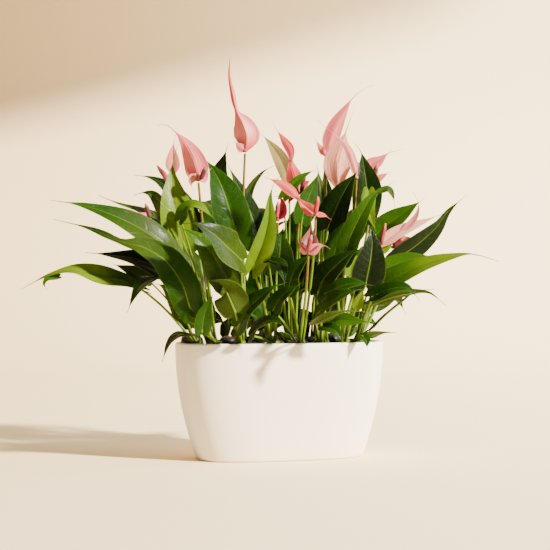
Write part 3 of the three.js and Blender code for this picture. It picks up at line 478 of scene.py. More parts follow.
            dict(wide=44, face=(-20, 20), tones="dark", spine=[(58, 276, 0), (71, 306, -6),
                 (84, 330, -8), (98, 350, -6)]),
            dict(wide=16, face=(0, 0), tones="lime", spine=[(84, 219, 0), (87, 230, 2),
                 (93, 240, 4), (100, 245, 6)]),
            dict(wide=46, face=(0, 125), end=(0, 70), tones="mid", spine=[(56, 162, 60),
                 (61, 204, 92), (69, 244, 118), (75, 252, 150), (80, 232, 176)]),
            dict(wide=40, face=(10, 80), tones="dark", spine=[(52, 242, 70), (60, 280, 90),
                 (68, 294, 118), (74, 276, 142)]),
            dict(wide=34, face=(0, 165), tones="mid", spine=[(46, 156, 66), (60, 164, 84),
                 (76, 164, 94), (94, 154, 103)]),
        ],
        blooms=[
            dict(base=(56, 360, 30), spadix=((58, 365, 36), (61, 385, 39)), spike="magenta",
                 blades=[
                dict(wide=22, face=(0, 180), belly=0.25, tail=0.32,
                     tones="rose rose rose salmon mauve", spine=[(57, 363, 29), (60, 380, 28),
                     (67, 398, 28), (77, 416, 28), (87, 431, 28), (100, 442, 28),
                     (114, 448, 28)]),
                dict(wide=9, face=(0, 180), tones="rose", spine=[(54, 363, 28), (48, 373, 26),
                     (40, 388, 26)]),
            ]),
            dict(base=(70, 321, 18), spadix=((70, 327, 25), (72, 350, 28)), spike="magenta",
                 blades=[
                dict(wide=36, face=(0, 180), belly=0.32, tones="peach cream cream blush",
                     spine=[(70, 324, 15), (69, 350, 11), (75, 376, 11), (82, 399, 12),
                     (89, 417, 14)]),
            ]),
        ],
    ),
    dict(
        crown=(74, -23),
        leaves=[
            dict(wide=28, face=(0, 20), tones="mid", spine=[(64, 238, -30), (70, 258, -34),
                 (82, 278, -36), (100, 294, -36)]),
            dict(wide=28, face=(-10, 10), tones="mid bright", spine=[(78, 240, -44),
                 (84, 262, -50), (96, 288, -54), (110, 311, -54), (122, 322, -52),
                 (139, 332, -50)]),
            dict(wide=9, face=(0, 30), tail=0.4, torn=True, tones="olive",
                 spine=[(121, 320, -52), (131, 322, -51), (137, 311, -50), (139, 291, -48)]),
            dict(wide=14, face=(0, 0), tones="lime", spine=[(92, 180, -40), (97, 192, -44),
                 (102, 204, -46)]),
            dict(wide=42, face=(10, 5), tones="deep", spine=[(103, 206, -44), (109, 236, -50),
                 (111, 262, -50), (106, 286, -46)]),
        ],
        blooms=[],
    ),
    dict(
        crown=(78, 18),
        leaves=[
            dict(wide=38, face=(0, 0), belly=0.3, tail=0.2, tones="dark", spine=[(102, 288, 20),
                 (105, 318, 20), (102, 345, 20), (98, 366, 22), (87, 381, 24)]),
            dict(wide=18, face=(0, 0), tones="lime", spine=[(107, 320, -6), (107, 302, -12),
                 (111, 285, -16), (117, 267, -16)]),
            dict(wide=32, face=(0, 30), tones="bright", spine=[(116, 268, 42), (133, 282, 40),
                 (152, 295, 38), (175, 312, 36)]),
            dict(wide=50, face=(10, 125), end=(20, 70), tones="mid", spine=[(92, 158, 60),
                 (99, 204, 80), (104, 244, 106), (110, 252, 136), (118, 234, 160)]),
            dict(wide=40, face=(10, 80), tones="dark", spine=[(84, 262, 78), (94, 288, 98),
                 (102, 296, 122), (110, 278, 144)]),
            dict(wide=34, face=(0, 165), tones="mid", spine=[(80, 156, 74), (94, 164, 94),
                 (108, 164, 102), (122, 154, 104)]),
        ],
        blooms=[
            dict(base=(92, 334, 2), bow=(0, 10), spadix=((93, 339, 6), (94, 355, 8)),
                 spike="crimson", blades=[
                dict(wide=12, face=(0, 180), tones="blush", spine=[(91, 336, 1), (88, 354, -3),
                     (80, 374, -6), (62, 391, -6), (43, 407, -4)]),
            ]),
            dict(base=(112, 329, 36), spadix=((112, 334, 31), (117, 352, 28)), spike="crimson",
                 blades=[
                dict(wide=22, face=(0, 0), tones="salmon rose rose mauve", spine=[(111, 331, 38),
                     (109, 348, 40), (120, 357, 40), (132, 366, 40), (148, 370, 40)]),
                dict(wide=10, face=(0, 0), tones="rose", spine=[(115, 331, 36), (124, 338, 36),
                     (138, 345, 36)]),
            ]),
        ],
    ),
    dict(
        crown=(96, 2),
        leaves=[
            dict(wide=33, face=(10, 35), end=(10, 68), tail=0.2,
                 tones="mid bright lime lime lime", spine=[(114, 205, -20), (141, 217, -30),
                 (172, 230, -36), (205, 240, -38), (232, 244, -38), (264, 235, -36)]),
            dict(wide=32, face=(0, 45), tones="bright", spine=[(120, 221, 6), (141, 232, 8),
                 (163, 239, 8), (192, 241, 6)]),
            dict(wide=32, face=(40, 0), tones="deep dark", spine=[(138, 238, 44), (162, 253, 44),
                 (188, 276, 40), (203, 296, 36), (226, 316, 32)]),
            dict(wide=26, face=(0, 115), tones="olive", spine=[(112, 184, -14), (134, 192, -24),
                 (157, 197, -30), (180, 197, -34), (200, 182, -38)]),
            dict(wide=18, face=(0, 80), tones="dark", spine=[(113, 156, 10), (128, 171, 6),
                 (148, 187, 2), (163, 199, -2), (186, 202, -6)]),
            dict(wide=26, face=(0, 45), tones="mid", spine=[(114, 194, -52), (134, 202, -62),
                 (153, 203, -68), (169, 188, -72)]),
            dict(wide=21, face=(0, 110), tones="pale", spine=[(100, 142, -12), (113, 146, -18),
                 (126, 149, -22), (140, 150, -26)]),
            dict(wide=14, face=(0, 45), tones="mid", spine=[(98, 146, -36), (104, 141, -44),
                 (105, 129, -50)]),
            dict(wide=14, face=(0, 0), tones="lime", spine=[(122, 248, 34), (131, 257, 36),
                 (142, 264, 38)]),
            dict(wide=38, face=(20, 90), tones="mid", spine=[(112, 176, 58), (132, 190, 88),
                 (142, 188, 112), (152, 172, 132)]),
        ],
        blooms=[
            dict(base=(121, 251, 20), bow=(0, 10), spadix=((122, 257, 14), (127, 281, 10)),
                 spike="magenta", blades=[
                dict(wide=18, face=(0, 20), tail=0.2, tones="peach cream cream pale",
                     spine=[(121, 254, 21), (137, 267, 22), (158, 277, 22), (180, 286, 22),
                     (204, 296, 22)]),
                dict(wide=9, face=(0, 0), torn=True, tones="blush mauve", spine=[(145, 270, 22),
                     (160, 284, 20), (167, 301, 18), (160, 321, 18)]),
            ]),
            dict(base=(136, 250, 54), spadix=((138, 254, 49), (149, 264, 46)), spike="magenta",
                 blades=[
                dict(wide=21, face=(0, 10), tail=0.15, tones="rose blush", spine=[(137, 252, 55),
                     (150, 259, 56), (168, 263, 56)]),
            ]),
        ],
    ),
]


class PlanterSizes(bpy.types.PropertyGroup):
    """Sizes and glaze of the oval planter."""

    height: FloatProperty(
        name="Height", description="Height of the planter", default=0.139, unit="LENGTH")
    foot: FloatProperty(
        name="Foot", description="Half length of the planter at its foot", default=0.101,
        unit="LENGTH")
    flare: FloatProperty(
        name="Flare", description="How far the ends lean out", default=0.0518, unit="LENGTH")
    wall: FloatProperty(
        name="Wall", description="Thickness of the wall", default=0.0055, unit="LENGTH")
    lip: FloatProperty(
        name="Lip", description="Rounding of the lip", default=0.0024, unit="LENGTH")
    glaze: FloatVectorProperty(
        name="Glaze", description="Colour of the glaze", default=(0.88, 0.80, 0.68),
        subtype="COLOR")


class PebbleSizes(bpy.types.PropertyGroup):
    """Looks of the river pebbles and the soil."""

    stone: FloatVectorProperty(
        name="Stone", description="Colour of the darkest stones", default=(0.008, 0.007, 0.006),
        subtype="COLOR")
    vein: FloatVectorProperty(
        name="Brown", description="Colour of the browner stones", default=(0.030, 0.020, 0.014),
        subtype="COLOR")
    soil: FloatVectorProperty(
        name="Soil", description="Colour of the potting soil", default=(0.024, 0.015, 0.010),
        subtype="COLOR")


class LeafSizes(bpy.types.PropertyGroup):
    """Sizes of the leaves and their stalks."""

    thickness: FloatProperty(
        name="Blade thickness", description="Thickness of a leaf blade", default=0.0007,
        unit="LENGTH")
    stalk: FloatProperty(
        name="Stalk radius", description="Radius of a leaf stalk at its root", default=0.0018,
        unit="LENGTH")
    midrib: FloatProperty(
        name="Midrib radius", description="Radius of the midrib where the stalk enters the blade",
        default=0.0011, unit="LENGTH")
    stations: IntProperty(
        name="Stations", description="Rows of faces along a blade", default=30, min=8)
    columns: IntProperty(
        name="Columns", description="Rows of faces across a blade", default=10, min=4)
    rib: FloatVectorProperty(
        name="Midrib", description="Colour of midrib and margin", default=(0.075, 0.125, 0.012),
        subtype="COLOR")
    glow: FloatVectorProperty(
        name="Glow", description="Colour of the light that comes through a leaf",
        default=(0.16, 0.26, 0.008), subtype="COLOR")


class BloomSizes(bpy.types.PropertyGroup):
    """Sizes of the spathes and spadices."""

    thickness: FloatProperty(
        name="Spathe thickness", description="Thickness of a spathe", default=0.0007, unit="LENGTH")
    spadix: FloatProperty(
        name="Spadix radius", description="Radius of a spadix", default=0.0027, unit="LENGTH")
    stations: IntProperty(
        name="Stations", description="Rows of faces along a lobe", default=34, min=8)
    columns: IntProperty(
        name="Columns", description="Rows of faces across a lobe", default=10, min=4)
    glow: FloatVectorProperty(
        name="Glow", description="Colour of the light that comes through a spathe",
        default=(0.85, 0.22, 0.19), subtype="COLOR")


class StudioSettings(bpy.types.PropertyGroup):
    """Floor, light and camera."""

    paper: FloatVectorProperty(
        name="Paper", description="Colour of the floor and backdrop", default=(0.97, 0.81, 0.51),
        subtype="COLOR")
    sun: FloatProperty(
        name="Key light", description="Strength of the key light", default=19.5)
    sky: FloatProperty(
        name="Fill light", description="Strength of the light from all round", default=0.30)
    window: FloatProperty(
        name="Window light", description="Power of the broad light beside the wall", default=80.0,
        unit="POWER")


def mix(a, b, t):
    """From a at 0 to b at 1."""
    return a + (b - a) * t


def eased(t):
    """From 0 to 1, slow at both ends."""
    t = min(max(t, 0), 1)
    return t * t * (3 - 2 * t)


# Shader maths and materials


class Strand:
    """A number that runs through a finish, with the arithmetic that its masks need."""

    def __init__(self, finish, socket):
        self.finish = finish
        self.socket = socket

    def worked(self, operation, *values):
        return self.finish.maths(operation, *values)

    def __add__(self, other):
        return self.worked("ADD", self, other)

    __radd__ = __add__

    def __sub__(self, other):
        return self.worked("SUBTRACT", self, other)

    def __rsub__(self, other):
        return self.worked("SUBTRACT", other, self)

    def __mul__(self, other):
        return self.worked("MULTIPLY", self, other)

    __rmul__ = __mul__

    def __abs__(self):
        return self.worked("ABSOLUTE", self)

    def wave(self):
        return self.worked("SINE", self)


class Finish:
    """A material under construction."""

    def __init__(self, name):
        self.material = bpy.data.materials.new(name)
        self.material.use_nodes = True
        self.tree = self.material.node_tree
        self.surface = self.tree.nodes["Principled BSDF"]
        self.output = self.tree.nodes["Material Output"]
        self.places = self.node("ShaderNodeTexCoord").outputs

    def feed(self, socket, value):
        """Links a strand or a socket, or sets a number or a colour."""
        if isinstance(value, Strand):
            value = value.socket
        if isinstance(value, bpy.types.NodeSocket):
            self.tree.links.new(value, socket)
        elif hasattr(socket.default_value, "__len__") and len(socket.default_value) > len(value):
            socket.default_value = (*value, 1)
        else:
            socket.default_value = value

    def node(self, kind, settings=None, sockets=None):
        """Any node: its settings are set first, then its sockets are fed."""
        made = self.tree.nodes.new(kind)
        for name, value in (settings or {}).items():
            setattr(made, name, value)
        for name, value in (sockets or {}).items():
            self.feed(made.inputs[name], value)
        return made

    def maths(self, operation, *values):
        made = self.node("ShaderNodeMath", {"operation": operation}, dict(enumerate(values)))
        return Strand(self, made.outputs[0])

    def smooth(self, value, low, high):
        """0 below low and 1 above high, eased between them."""
        made = self.node("ShaderNodeMapRange", {"interpolation_type": "SMOOTHSTEP"},
                         {"Value": value, "From Min": low, "From Max": high})
        return Strand(self, made.outputs["Result"])

    def noise(self, scale, detail, rough=0.5):
        """Soft cloud, from 0 to 1, that stays in place on the piece."""
        made = self.node("ShaderNodeTexNoise", None, {
            "Vector": self.places["Object"], "Scale": scale, "Detail": detail, "Roughness": rough})
        return Strand(self, made.outputs["Fac"])

    def cells(self, scale, feature="F1"):
        """Small cells: the distance from their middles, or from their edges."""
        made = self.node("ShaderNodeTexVoronoi", {"feature": feature}, {
            "Vector": self.places["Object"], "Scale": scale})
        return Strand(self, made.outputs["Distance"])

    def mixed(self, factor, a, b, blend="MIX"):
        """Colour a at 0 and colour b at 1, or a times b."""
        made = self.node("ShaderNodeMix", {"data_type": "RGBA", "blend_type": blend})
        self.feed(made.inputs[0], factor)
        self.feed(made.inputs[6], a)
        self.feed(made.inputs[7], b)
        return made.outputs[2]

    def along(self):
        """How far a point lies across and along its piece, from the piece's own map."""
        made = self.node("ShaderNodeSeparateXYZ", None, {0: self.places["UV"]})
        return Strand(self, made.outputs["X"]), Strand(self, made.outputs["Y"])

    def tint(self):
        """The piece's own tones, and the share of the light that they let through."""
        made = self.node("ShaderNodeAttribute", {"attribute_name": "tint"})
        return made.outputs["Color"], Strand(self, made.outputs["Alpha"])

    def relief(self, height, depth, strength):
        """Fine bumps in the light alone. The depth is in metres."""
        made = self.node("ShaderNodeBump", None, {
            "Height": height, "Distance": depth, "Strength": strength})
        self.feed(self.surface.inputs["Normal"], made.outputs["Normal"])

    def coat(self, colour, roughness, **constants):
        """Colour and roughness of the surface, and what stays the same all over it."""
        self.feed(self.surface.inputs["Base Color"], colour)
        self.feed(self.surface.inputs["Roughness"], roughness)
        for name, value in constants.items():
            self.surface.inputs[name.replace("_", " ")].default_value = value

    def let_through(self, glow, share):
        """Lets a share of the light through, as a thin leaf does."""
        thin = self.node("ShaderNodeBsdfTranslucent", None, {"Color": glow})
        both = self.node("ShaderNodeMixShader")
        self.feed(both.inputs[0], share)
        self.tree.links.new(self.surface.outputs[0], both.inputs[1])
        self.tree.links.new(thin.outputs[0], both.inputs[2])
        self.tree.links.new(both.outputs[0], self.output.inputs["Surface"])


def glaze_finish(colour):
    """A satin glaze, slightly clouded and with a few fine specks."""
    finish = Finish("satin_glaze")
    cloud = finish.noise(9, 4)
    speck = finish.smooth(finish.noise(900, 2), 0.66, 0.74)
    shade = finish.mixed(cloud, [0.93 * part for part in colour], colour)
    shade = finish.mixed(speck * 0.12, shade, GLAZE_SPECK)
    finish.coat(shade, 0.40 + 0.16 * finish.noise(30, 3), Specular_IOR_Level=0.45)
    finish.relief(finish.noise(22, 2) + 0.10 * finish.noise(420, 3), 0.0006, 0.25)
    return finish.material


def soil_finish(colour):
    """Dull, crumbly potting soil."""
    finish = Finish("potting_soil")
    crumb = finish.noise(260, 6, rough=0.7)
    shade = finish.mixed(crumb, colour, [2.4 * part for part in colour])
    finish.coat(shade, 0.95)
    finish.relief(crumb + 0.6 * finish.cells(420), 0.003, 0.9)
    return finish.material


def stone_finish(dark, brown):
    """Smooth river stone, clouded brown over dark, each stone in its own tint."""
    finish = Finish("river_stone")
    tint, _ = finish.tint()
    cloud = finish.noise(45, 5, rough=0.6)
    shade = finish.mixed(cloud, dark, brown)
    shade = finish.mixed(1.0, shade, tint, "MULTIPLY")
    grain = finish.noise(900, 3)
    shade = finish.mixed(finish.smooth(grain, 0.55, 0.75) * 0.25, shade, STONE_GRAIN)
    finish.coat(shade, 0.30 + 0.25 * cloud, Specular_IOR_Level=0.3)
    finish.relief(cloud + 0.2 * grain, 0.0008, 0.4)
    return finish.material


def leaf_finish(sizes, under):
    """A leaf is glossy above, with sunken veins, and dull below, with raised ones."""
    finish = Finish("leaf_under" if under else "leaf_upper")
    across, along = finish.along()
    side = abs(across * 2 - 1)
    tint, glow = finish.tint()
    broad = finish.noise(34, 3)
    fine = finish.noise(420, 4)
    lateral = (along * 82 - side * 9 + broad * 2.5).wave()
    vein = finish.smooth(lateral, 0.72, 1.0) * finish.smooth(side, 0.03, 0.12)
    net = finish.smooth(finish.cells(520, "DISTANCE_TO_EDGE"), 0.09, 0.0)
    midrib = 1 - finish.smooth(side, 0.015, 0.075)
    margin = finish.smooth(side, 0.93, 0.985)
    shade = finish.mixed(finish.smooth(broad, 0.35, 0.7) * 0.55, tint, LEAF_SHADE, "MULTIPLY")
    shade = finish.mixed(finish.smooth(fine, 0.5, 0.8) * 0.25, shade, LEAF_LIGHT, "MULTIPLY")
    shade = finish.mixed(vein * (0.12 if under else 0.04), shade, sizes.rib)
    shade = finish.mixed(net * 0.04, shade, sizes.rib)
    shade = finish.mixed(midrib * 0.75, shade, sizes.rib)
    shade = finish.mixed(margin * 0.45, shade, sizes.rib)
    if under:
        shade = finish.mixed(0.35, shade, LEAF_UNDERSIDE)
        finish.coat(shade, 0.46 + 0.14 * broad, Specular_IOR_Level=0.05)
        finish.relief(vein + 0.4 * net + 0.3 * fine, 0.0005, 0.7)
    else:
        finish.coat(shade, 0.18 + 0.16 * broad + 0.05 * fine, Specular_IOR_Level=0.10)
        finish.relief(1.6 * broad - 0.3 * vein - 0.2 * net - midrib + 0.12 * fine, 0.0006, 0.7)
    finish.let_through(sizes.glow, glow * (1 - 0.6 * midrib - 0.3 * vein))
    return finish.material


def stalk_finish():
    """Leaf and flower stalks, finely ribbed, with faint streaks and flecks."""
    finish = Finish("leaf_stalk")
    across, _ = finish.along()
    tint, _ = finish.tint()
    streak = finish.noise(60, 4)
    fleck = finish.smooth(finish.noise(700, 3), 0.58, 0.75)
    shade = finish.mixed(streak * 0.5, tint, STALK_STREAK, "MULTIPLY")
    shade = finish.mixed(fleck * 0.25, shade, STALK_FLECK)
    finish.coat(shade, 0.36 + 0.2 * streak, Specular_IOR_Level=0.2)
    finish.relief((across * 50).wave() + 0.4 * fleck, 0.0002, 0.4)
    return finish.material


def spathe_finish(sizes):
    """A waxy petal with faint veins along it, which lets some light through."""
    finish = Finish("spathe_petal")
    across, _ = finish.along()
    side = abs(across * 2 - 1)
    tint, glow = finish.tint()
    broad = finish.noise(48, 3)
    vein = finish.smooth((side * 26 + broad * 1.6).wave(), 0.55, 1.0)
    keel = 1 - finish.smooth(side, 0.02, 0.13)
    shade = finish.mixed(finish.smooth(broad, 0.3, 0.7) * 0.4, tint, SPATHE_SHADE, "MULTIPLY")
    shade = finish.mixed(vein * 0.12, shade, SPATHE_VEIN, "MULTIPLY")
    shade = finish.mixed(keel * 0.35, shade, SPATHE_KEEL, "MULTIPLY")
    finish.coat(shade, 0.38 + 0.14 * broad, Specular_IOR_Level=0.25)
    finish.relief(0.6 * broad - vein - keel, 0.0005, 0.6)
    finish.let_through(sizes.glow, glow)
    return finish.material


def spadix_finish():
    """Small round grains, with painted shade in the gaps between them, lighter at the tip."""
    finish = Finish("spadix_grain")
    _, along = finish.along()
    tint, _ = finish.tint()
    knob = finish.cells(1100)
    # Painted shade: darker away from the middle of each grain.
    shade = finish.mixed(finish.smooth(knob, 0.1, 0.6), tint, SPADIX_PAINTED_GAP_SHADE, "MULTIPLY")
    shade = finish.mixed(finish.smooth(along, 0.72, 1.0) * 0.35, shade, SPADIX_END)
    finish.coat(shade, 0.5 + 0.2 * finish.noise(200, 2))
    finish.relief(1 - knob, 0.0006, 0.8)
    return finish.material


def paper_finish(colour):
    """Smooth paper, with painted shade that darkens it towards the far left of the eye."""
    finish = Finish("backdrop_paper_painted_shade")
    split = finish.node("ShaderNodeSeparateXYZ", None, {0: finish.places["Object"]}).outputs
    x, y = Strand(finish, split["X"]), Strand(finish, split["Y"])
    right = x * math.cos(PLANT_TURN) - y * math.sin(PLANT_TURN)
    cloud = finish.noise(1.6, 3)
    # Painted shade: the paper's colour is darkened towards the far left, where less light falls.
    left = [part * share for part, share in zip(colour, PAPER_PAINTED_SHADE_LEFT)]
    shade = finish.mixed(finish.smooth(right, -1.0, 0.45), left, colour)
    shade = finish.mixed(cloud * 0.5, shade, PAPER_CLOUD, "MULTIPLY")
    finish.coat(shade, 0.85 + 0.1 * finish.noise(40, 3), Specular_IOR_Level=0.2)
    return finish.material


# Shapes


def grid(name, across, along, place):
    """A flat grid is added, and each of its points is carried to place(u, v), in millimetres."""
    bpy.ops.object.select_all(action="DESELECT")
    bpy.ops.mesh.primitive_grid_add(x_subdivisions=across, y_subdivisions=along, size=2)
    piece = bpy.context.object
    piece.name = name
    for vertex in piece.data.vertices:
        u = round((vertex.co.x + 1) / 2 * across) / across
        v = round((vertex.co.y + 1) / 2 * along) / along
        vertex.co = place(u, v) * MM
    return piece


def welded(piece, outward=False):
    """Closes seams and poles."""
    bpy.ops.object.mode_set(mode="EDIT")
    bpy.ops.mesh.select_all(action="SELECT")
    bpy.ops.mesh.remove_doubles(threshold=WELD * MM)
    if outward:
        bpy.ops.mesh.normals_make_consistent(inside=False)
    bpy.ops.object.mode_set(mode="OBJECT")
    return piece


def tinted(piece, tones):
    """Gives a piece the named tones along its map, from its start to its end."""
    tint = piece.data.color_attributes.new("tint", "FLOAT_COLOR", "CORNER")
    layer = piece.data.uv_layers[0].data
    steps = [Vector(TONES[tone]) for tone in tones.split()]
    for corner, place in zip(tint.data, layer):
        t = min(max(place.uv.y, 0), 1) * (len(steps) - 1)
        low = min(int(t), max(len(steps) - 2, 0))
        high = min(low + 1, len(steps) - 1)
        corner.color = steps[low].lerp(steps[high], eased(t - low))
    return piece


def thickened(piece, thickness):
    """A sheet gets its thickness. Its under side takes the next finish."""
    bpy.ops.object.modifier_add(type="SOLIDIFY")
    wall = piece.modifiers[-1]
    wall.thickness = thickness
    wall.offset = 0
    wall.material_offset = 1
    wall.material_offset_rim = 1
    bpy.ops.object.modifier_apply(modifier=wall.name)
    return piece


def dressed(piece, *finishes):
    """Gives a piece its materials, in the order of its slots."""
    for finish in finishes:
        piece.data.materials.append(finish)
    return piece


def joined(name, parts):
    """Makes the parts one piece, smooth but for its sharp edges."""
    bpy.ops.object.select_all(action="DESELECT")
    for part in parts:
        part.select_set(True)
    bpy.context.view_layer.objects.active = parts[0]
    if len(parts) > 1:
        bpy.ops.object.join()
    piece = bpy.context.object
    piece.name = name
    piece.data.name = name
    bpy.ops.object.shade_smooth_by_angle(angle=math.radians(SHARP_ANGLE))
    return piece


def settled(piece, node):
    """The piece stands for its solid."""
    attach(piece, "root")
    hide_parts(node)


def in_part(point):
    """From the plant's own frame, which faces the eye, to the planter's."""
    c, s = math.cos(PLANT_TURN), math.sin(PLANT_TURN)
    return Vector((point.x * c + point.y * s, point.y * c - point.x * s, point.z))


def half_length(sizes, z):
    """Half the planter's outside length at height z."""
    s = z * MM / sizes.height
    return (sizes.foot + sizes.flare * s) / MM - SIDE_EASING * s * s


def oval_point(half, z, turn, inset=0.0):
    """Point of the planter's oval at height z, with the turn from 0 to 1 round it."""
    c, s = math.cos(turn * math.tau), math.sin(turn * math.tau)
    x = math.copysign(abs(c) ** (2 / OVAL_POWER), c) * (half - inset)
    y = math.copysign(abs(s) ** (2 / OVAL_POWER), s) * (half * DEPTH_TO_LENGTH - inset)
    return Vector((x, y, z))


def even_oval():
    """Turns round the oval at even distances along it."""
    steps = 720
    points = [oval_point(100, 0, i / steps) for i in range(steps + 1)]
    lengths = [0.0]
    for a, b in zip(points, points[1:]):
        lengths.append(lengths[-1] + (b - a).length)

    def turn_at(u):
        goal = u * lengths[-1]
        low = next(i for i in range(steps) if lengths[i + 1] >= goal - 1e-9)
        return (low + (goal - lengths[low]) / (lengths[low + 1] - lengths[low])) / steps

    return turn_at


def wall_levels(sizes):
    """The planter's wall from the middle of its foot, up the outside, over the lip and down inside,
    as (height, inset, share of the oval)."""
    foot_steps, side_steps, lip_steps, inside_steps = 6, 14, 12, 8
    height = sizes.height / MM
    wall, lip = sizes.wall / MM, sizes.lip / MM
    shoulder = height - lip
    levels = [(0, FOOT_ROUNDING, share) for share in (0, 0.5, 0.9)]
    for step in range(foot_steps + 1):
        bend = step / foot_steps * math.pi / 2
        rise, inset = 1 - math.cos(bend), 1 - math.sin(bend)
        levels.append((FOOT_ROUNDING * rise, FOOT_ROUNDING * inset, 1))
    for step in range(1, side_steps + 1):
        levels.append((mix(FOOT_ROUNDING, shoulder, step / side_steps), 0, 1))
    for step in range(1, lip_steps + 1):
        bend = step / lip_steps * math.pi
        levels.append((shoulder + lip * math.sin(bend), wall / 2 * (1 - math.cos(bend)), 1))
    for step in range(1, inside_steps + 1):
        levels.append((mix(shoulder, FLOOR_THICKNESS, step / inside_steps), wall, 1))
    levels += [(FLOOR_THICKNESS, wall, share) for share in (0.6, 0)]
    return levels


class SeededDraw:
    """Small repeatable source of even random numbers between 0 and 1."""

    FACTOR = 16807
    RANGE = 2147483647

    def __init__(self, seed):
        self.state = seed

    def __call__(self):
        self.state = self.state * self.FACTOR % self.RANGE
        return self.state / self.RANGE


def stone_corners():
    """The twelve corners of an icosahedron, which a stone of the solid has."""
    golden = (1 + math.sqrt(5)) / 2
    first = [Vector((0, a, b * golden)) for a in (-1, 1) for b in (-1, 1)]
    second = [Vector((p.y, p.z, p.x)) for p in first]
    third = [Vector((p.z, p.x, p.y)) for p in first]
    return [corner.normalized() for corner in first + second + third]


def seen(spot):
    """A spot of the upright sheet, carried to its depth along its line of sight."""
    x, z, depth = spot
    spread = 1 + depth / EYE_DISTANCE
    return Vector((
        (x - EYE_SHIFT) * spread + EYE_SHIFT, depth, EYE_HEIGHT + (z - EYE_HEIGHT) * spread))


class Spine:
    """A smooth line through points, read at even distances along it."""

    STEPS = 120

    def __init__(self, points):
        self.points = points
        path = [self.on(i / self.STEPS) for i in range(self.STEPS + 1)]
        self.lengths = [0.0]
        for a, b in zip(path, path[1:]):
            self.lengths.append(self.lengths[-1] + (b - a).length)
        self.length = self.lengths[-1]

    def on(self, t):
        """The point at t, from 0 to 1, counted in points."""
        points = self.points
        last = len(points) - 1
        low = min(int(t * last), last - 1)
        w = t * last - low
        a, b = points[low], points[low + 1]
        before = points[low - 1] if low > 0 else 2 * a - b
        after = points[low + 2] if low + 2 <= last else 2 * b - a
        into, out = (b - before) / 2, (after - a) / 2
        square = 3 * (b - a) - 2 * into - out
        cube = 2 * (a - b) + into + out
        return a + into * w + square * w * w + cube * w ** 3

    def at(self, s):
        """The point at s, from 0 to 1, counted in length."""
        goal = min(max(s, 0), 1) * self.length
        low, high = 0, self.STEPS
        while high - low > 1:
            middle = (low + high) // 2
            if self.lengths[middle] <= goal:
                low = middle
            else:
                high = middle
        step = self.lengths[low + 1] - self.lengths[low]
        return self.on((low + (goal - self.lengths[low]) / step) / self.STEPS)

    def along(self, s):
        """The way that the line runs at s."""
        near = 0.004
        s = min(max(s, 0), 0.999)
        return (self.at(s + near) - self.at(max(s - near, 0))).normalized()


def towards(turn, lift):
    """A way, turned from the eye to the right and lifted from level, in degrees."""
    turn, lift = math.radians(turn), math.radians(lift)
    level = math.cos(lift)
    return Vector((math.sin(turn) * level, -math.cos(turn) * level, math.sin(lift)))


def width_share(row, kind, s):
    """Share of the greatest half width at s, from the stalk at 0 to the drip tip at 1."""
    belly = row.get("belly", kind["belly"])
    tail = row.get("tail", kind["tail"])
    if s < belly:
        return mix(kind["root"], 1, math.sin(s / belly * math.pi / 2))
    fall = min(1, (s - belly) / (1 - tail - belly))
    thread_share = row.get("thread", kind["thread"])
    thread = thread_share * (1 - s) / (1 - belly)
    pinch_at, pinch = row.get("pinch", (0, 0))
    narrowing = 1 - pinch * math.exp(-(((s - pinch_at) / PINCH_REACH) ** 2))
    body = (1 - thread_share) * max(math.cos(fall * math.pi / 2), 0) ** TIP_EASING
    return (body + thread) * narrowing


def blade_point(row, kind, spine, s, c):
    """Point of a blade at s along its spine and c across it, from -1 to 1, and its normal."""
    lobe = math.sin(LOBE_TURN * math.pi * abs(c)) * (1 - s) ** 3
    swept = s - kind["lobes"] * lobe
    on = spine.at(swept)
    along = spine.along(swept)
    if swept < 0:
        on = on + along * swept * spine.length
    face, end = row["face"], row.get("end", row["face"])
    facing = towards(mix(face[0], end[0], s), mix(face[1], end[1], s))
    normal = (facing - along * facing.dot(along)).normalized()
    across = normal.cross(along)
    half = row["wide"] / 2 * width_share(row, kind, s)
    fold = row.get("fold", kind["fold"])
    wave = row.get("wave", EDGE_WAVE) * half * math.sin(9 * s + 2 * c) * c * c
    rise = half * fold * (abs(c) - 0.5 * c * c) + wave
    return on + across * half * c * (1 - FOLD_DRAWN_IN * fold) + normal * rise, normal


def blade(row, kind, thickness, columns, stations, finishes):
    """A leaf blade or a lobe of a spathe: a thin sheet swept along its spine."""
    spine = Spine([seen(spot) for spot in row["spine"]])

    def place(u, v):
        return in_part(blade_point(row, kind, spine, v, 1 - 2 * u)[0])

    piece = welded(grid("blade", columns, stations, place))
    dressed(tinted(piece, row["tones"]), *finishes)
    return thickened(piece, thickness)


def tube(name, points, radius_at, tones, finish, sides, stations, knobs=None):
    """A closed tube on a smooth line through points, with knobs(u, s) added to its radius."""
    spine = Spine(points)

    def place(u, v):
        s = (v * (stations + 2) - 1) / stations
        on = spine.at(s)
        if not 0 <= s <= 1:
            return in_part(on)
        along = spine.along(s)
        side = along.cross(Vector((0, 1, 0))).normalized()
        turn = u * math.tau
        out = side * math.cos(turn) - side.cross(along) * math.sin(turn)
        girth = radius_at(s) + (knobs(u, s) if knobs else 0)
        return in_part(on + out * girth)

    piece = welded(grid(name, sides, stations + 2, place), outward=True)
    return dressed(tinted(piece, tones), finish)


def crown_radius(count):
    """A crown has room for the roots of all its stalks."""
    return CROWN_EDGE + CROWN_PACKING * ROOT_GAP * math.sqrt(count)


def crown_centre(shoot):
    along, across = shoot["crown"]
    c, s = math.cos(PLANT_TURN), math.sin(PLANT_TURN)
    return Vector((along * c - across * s, along * s + across * c, SOIL_TOP))


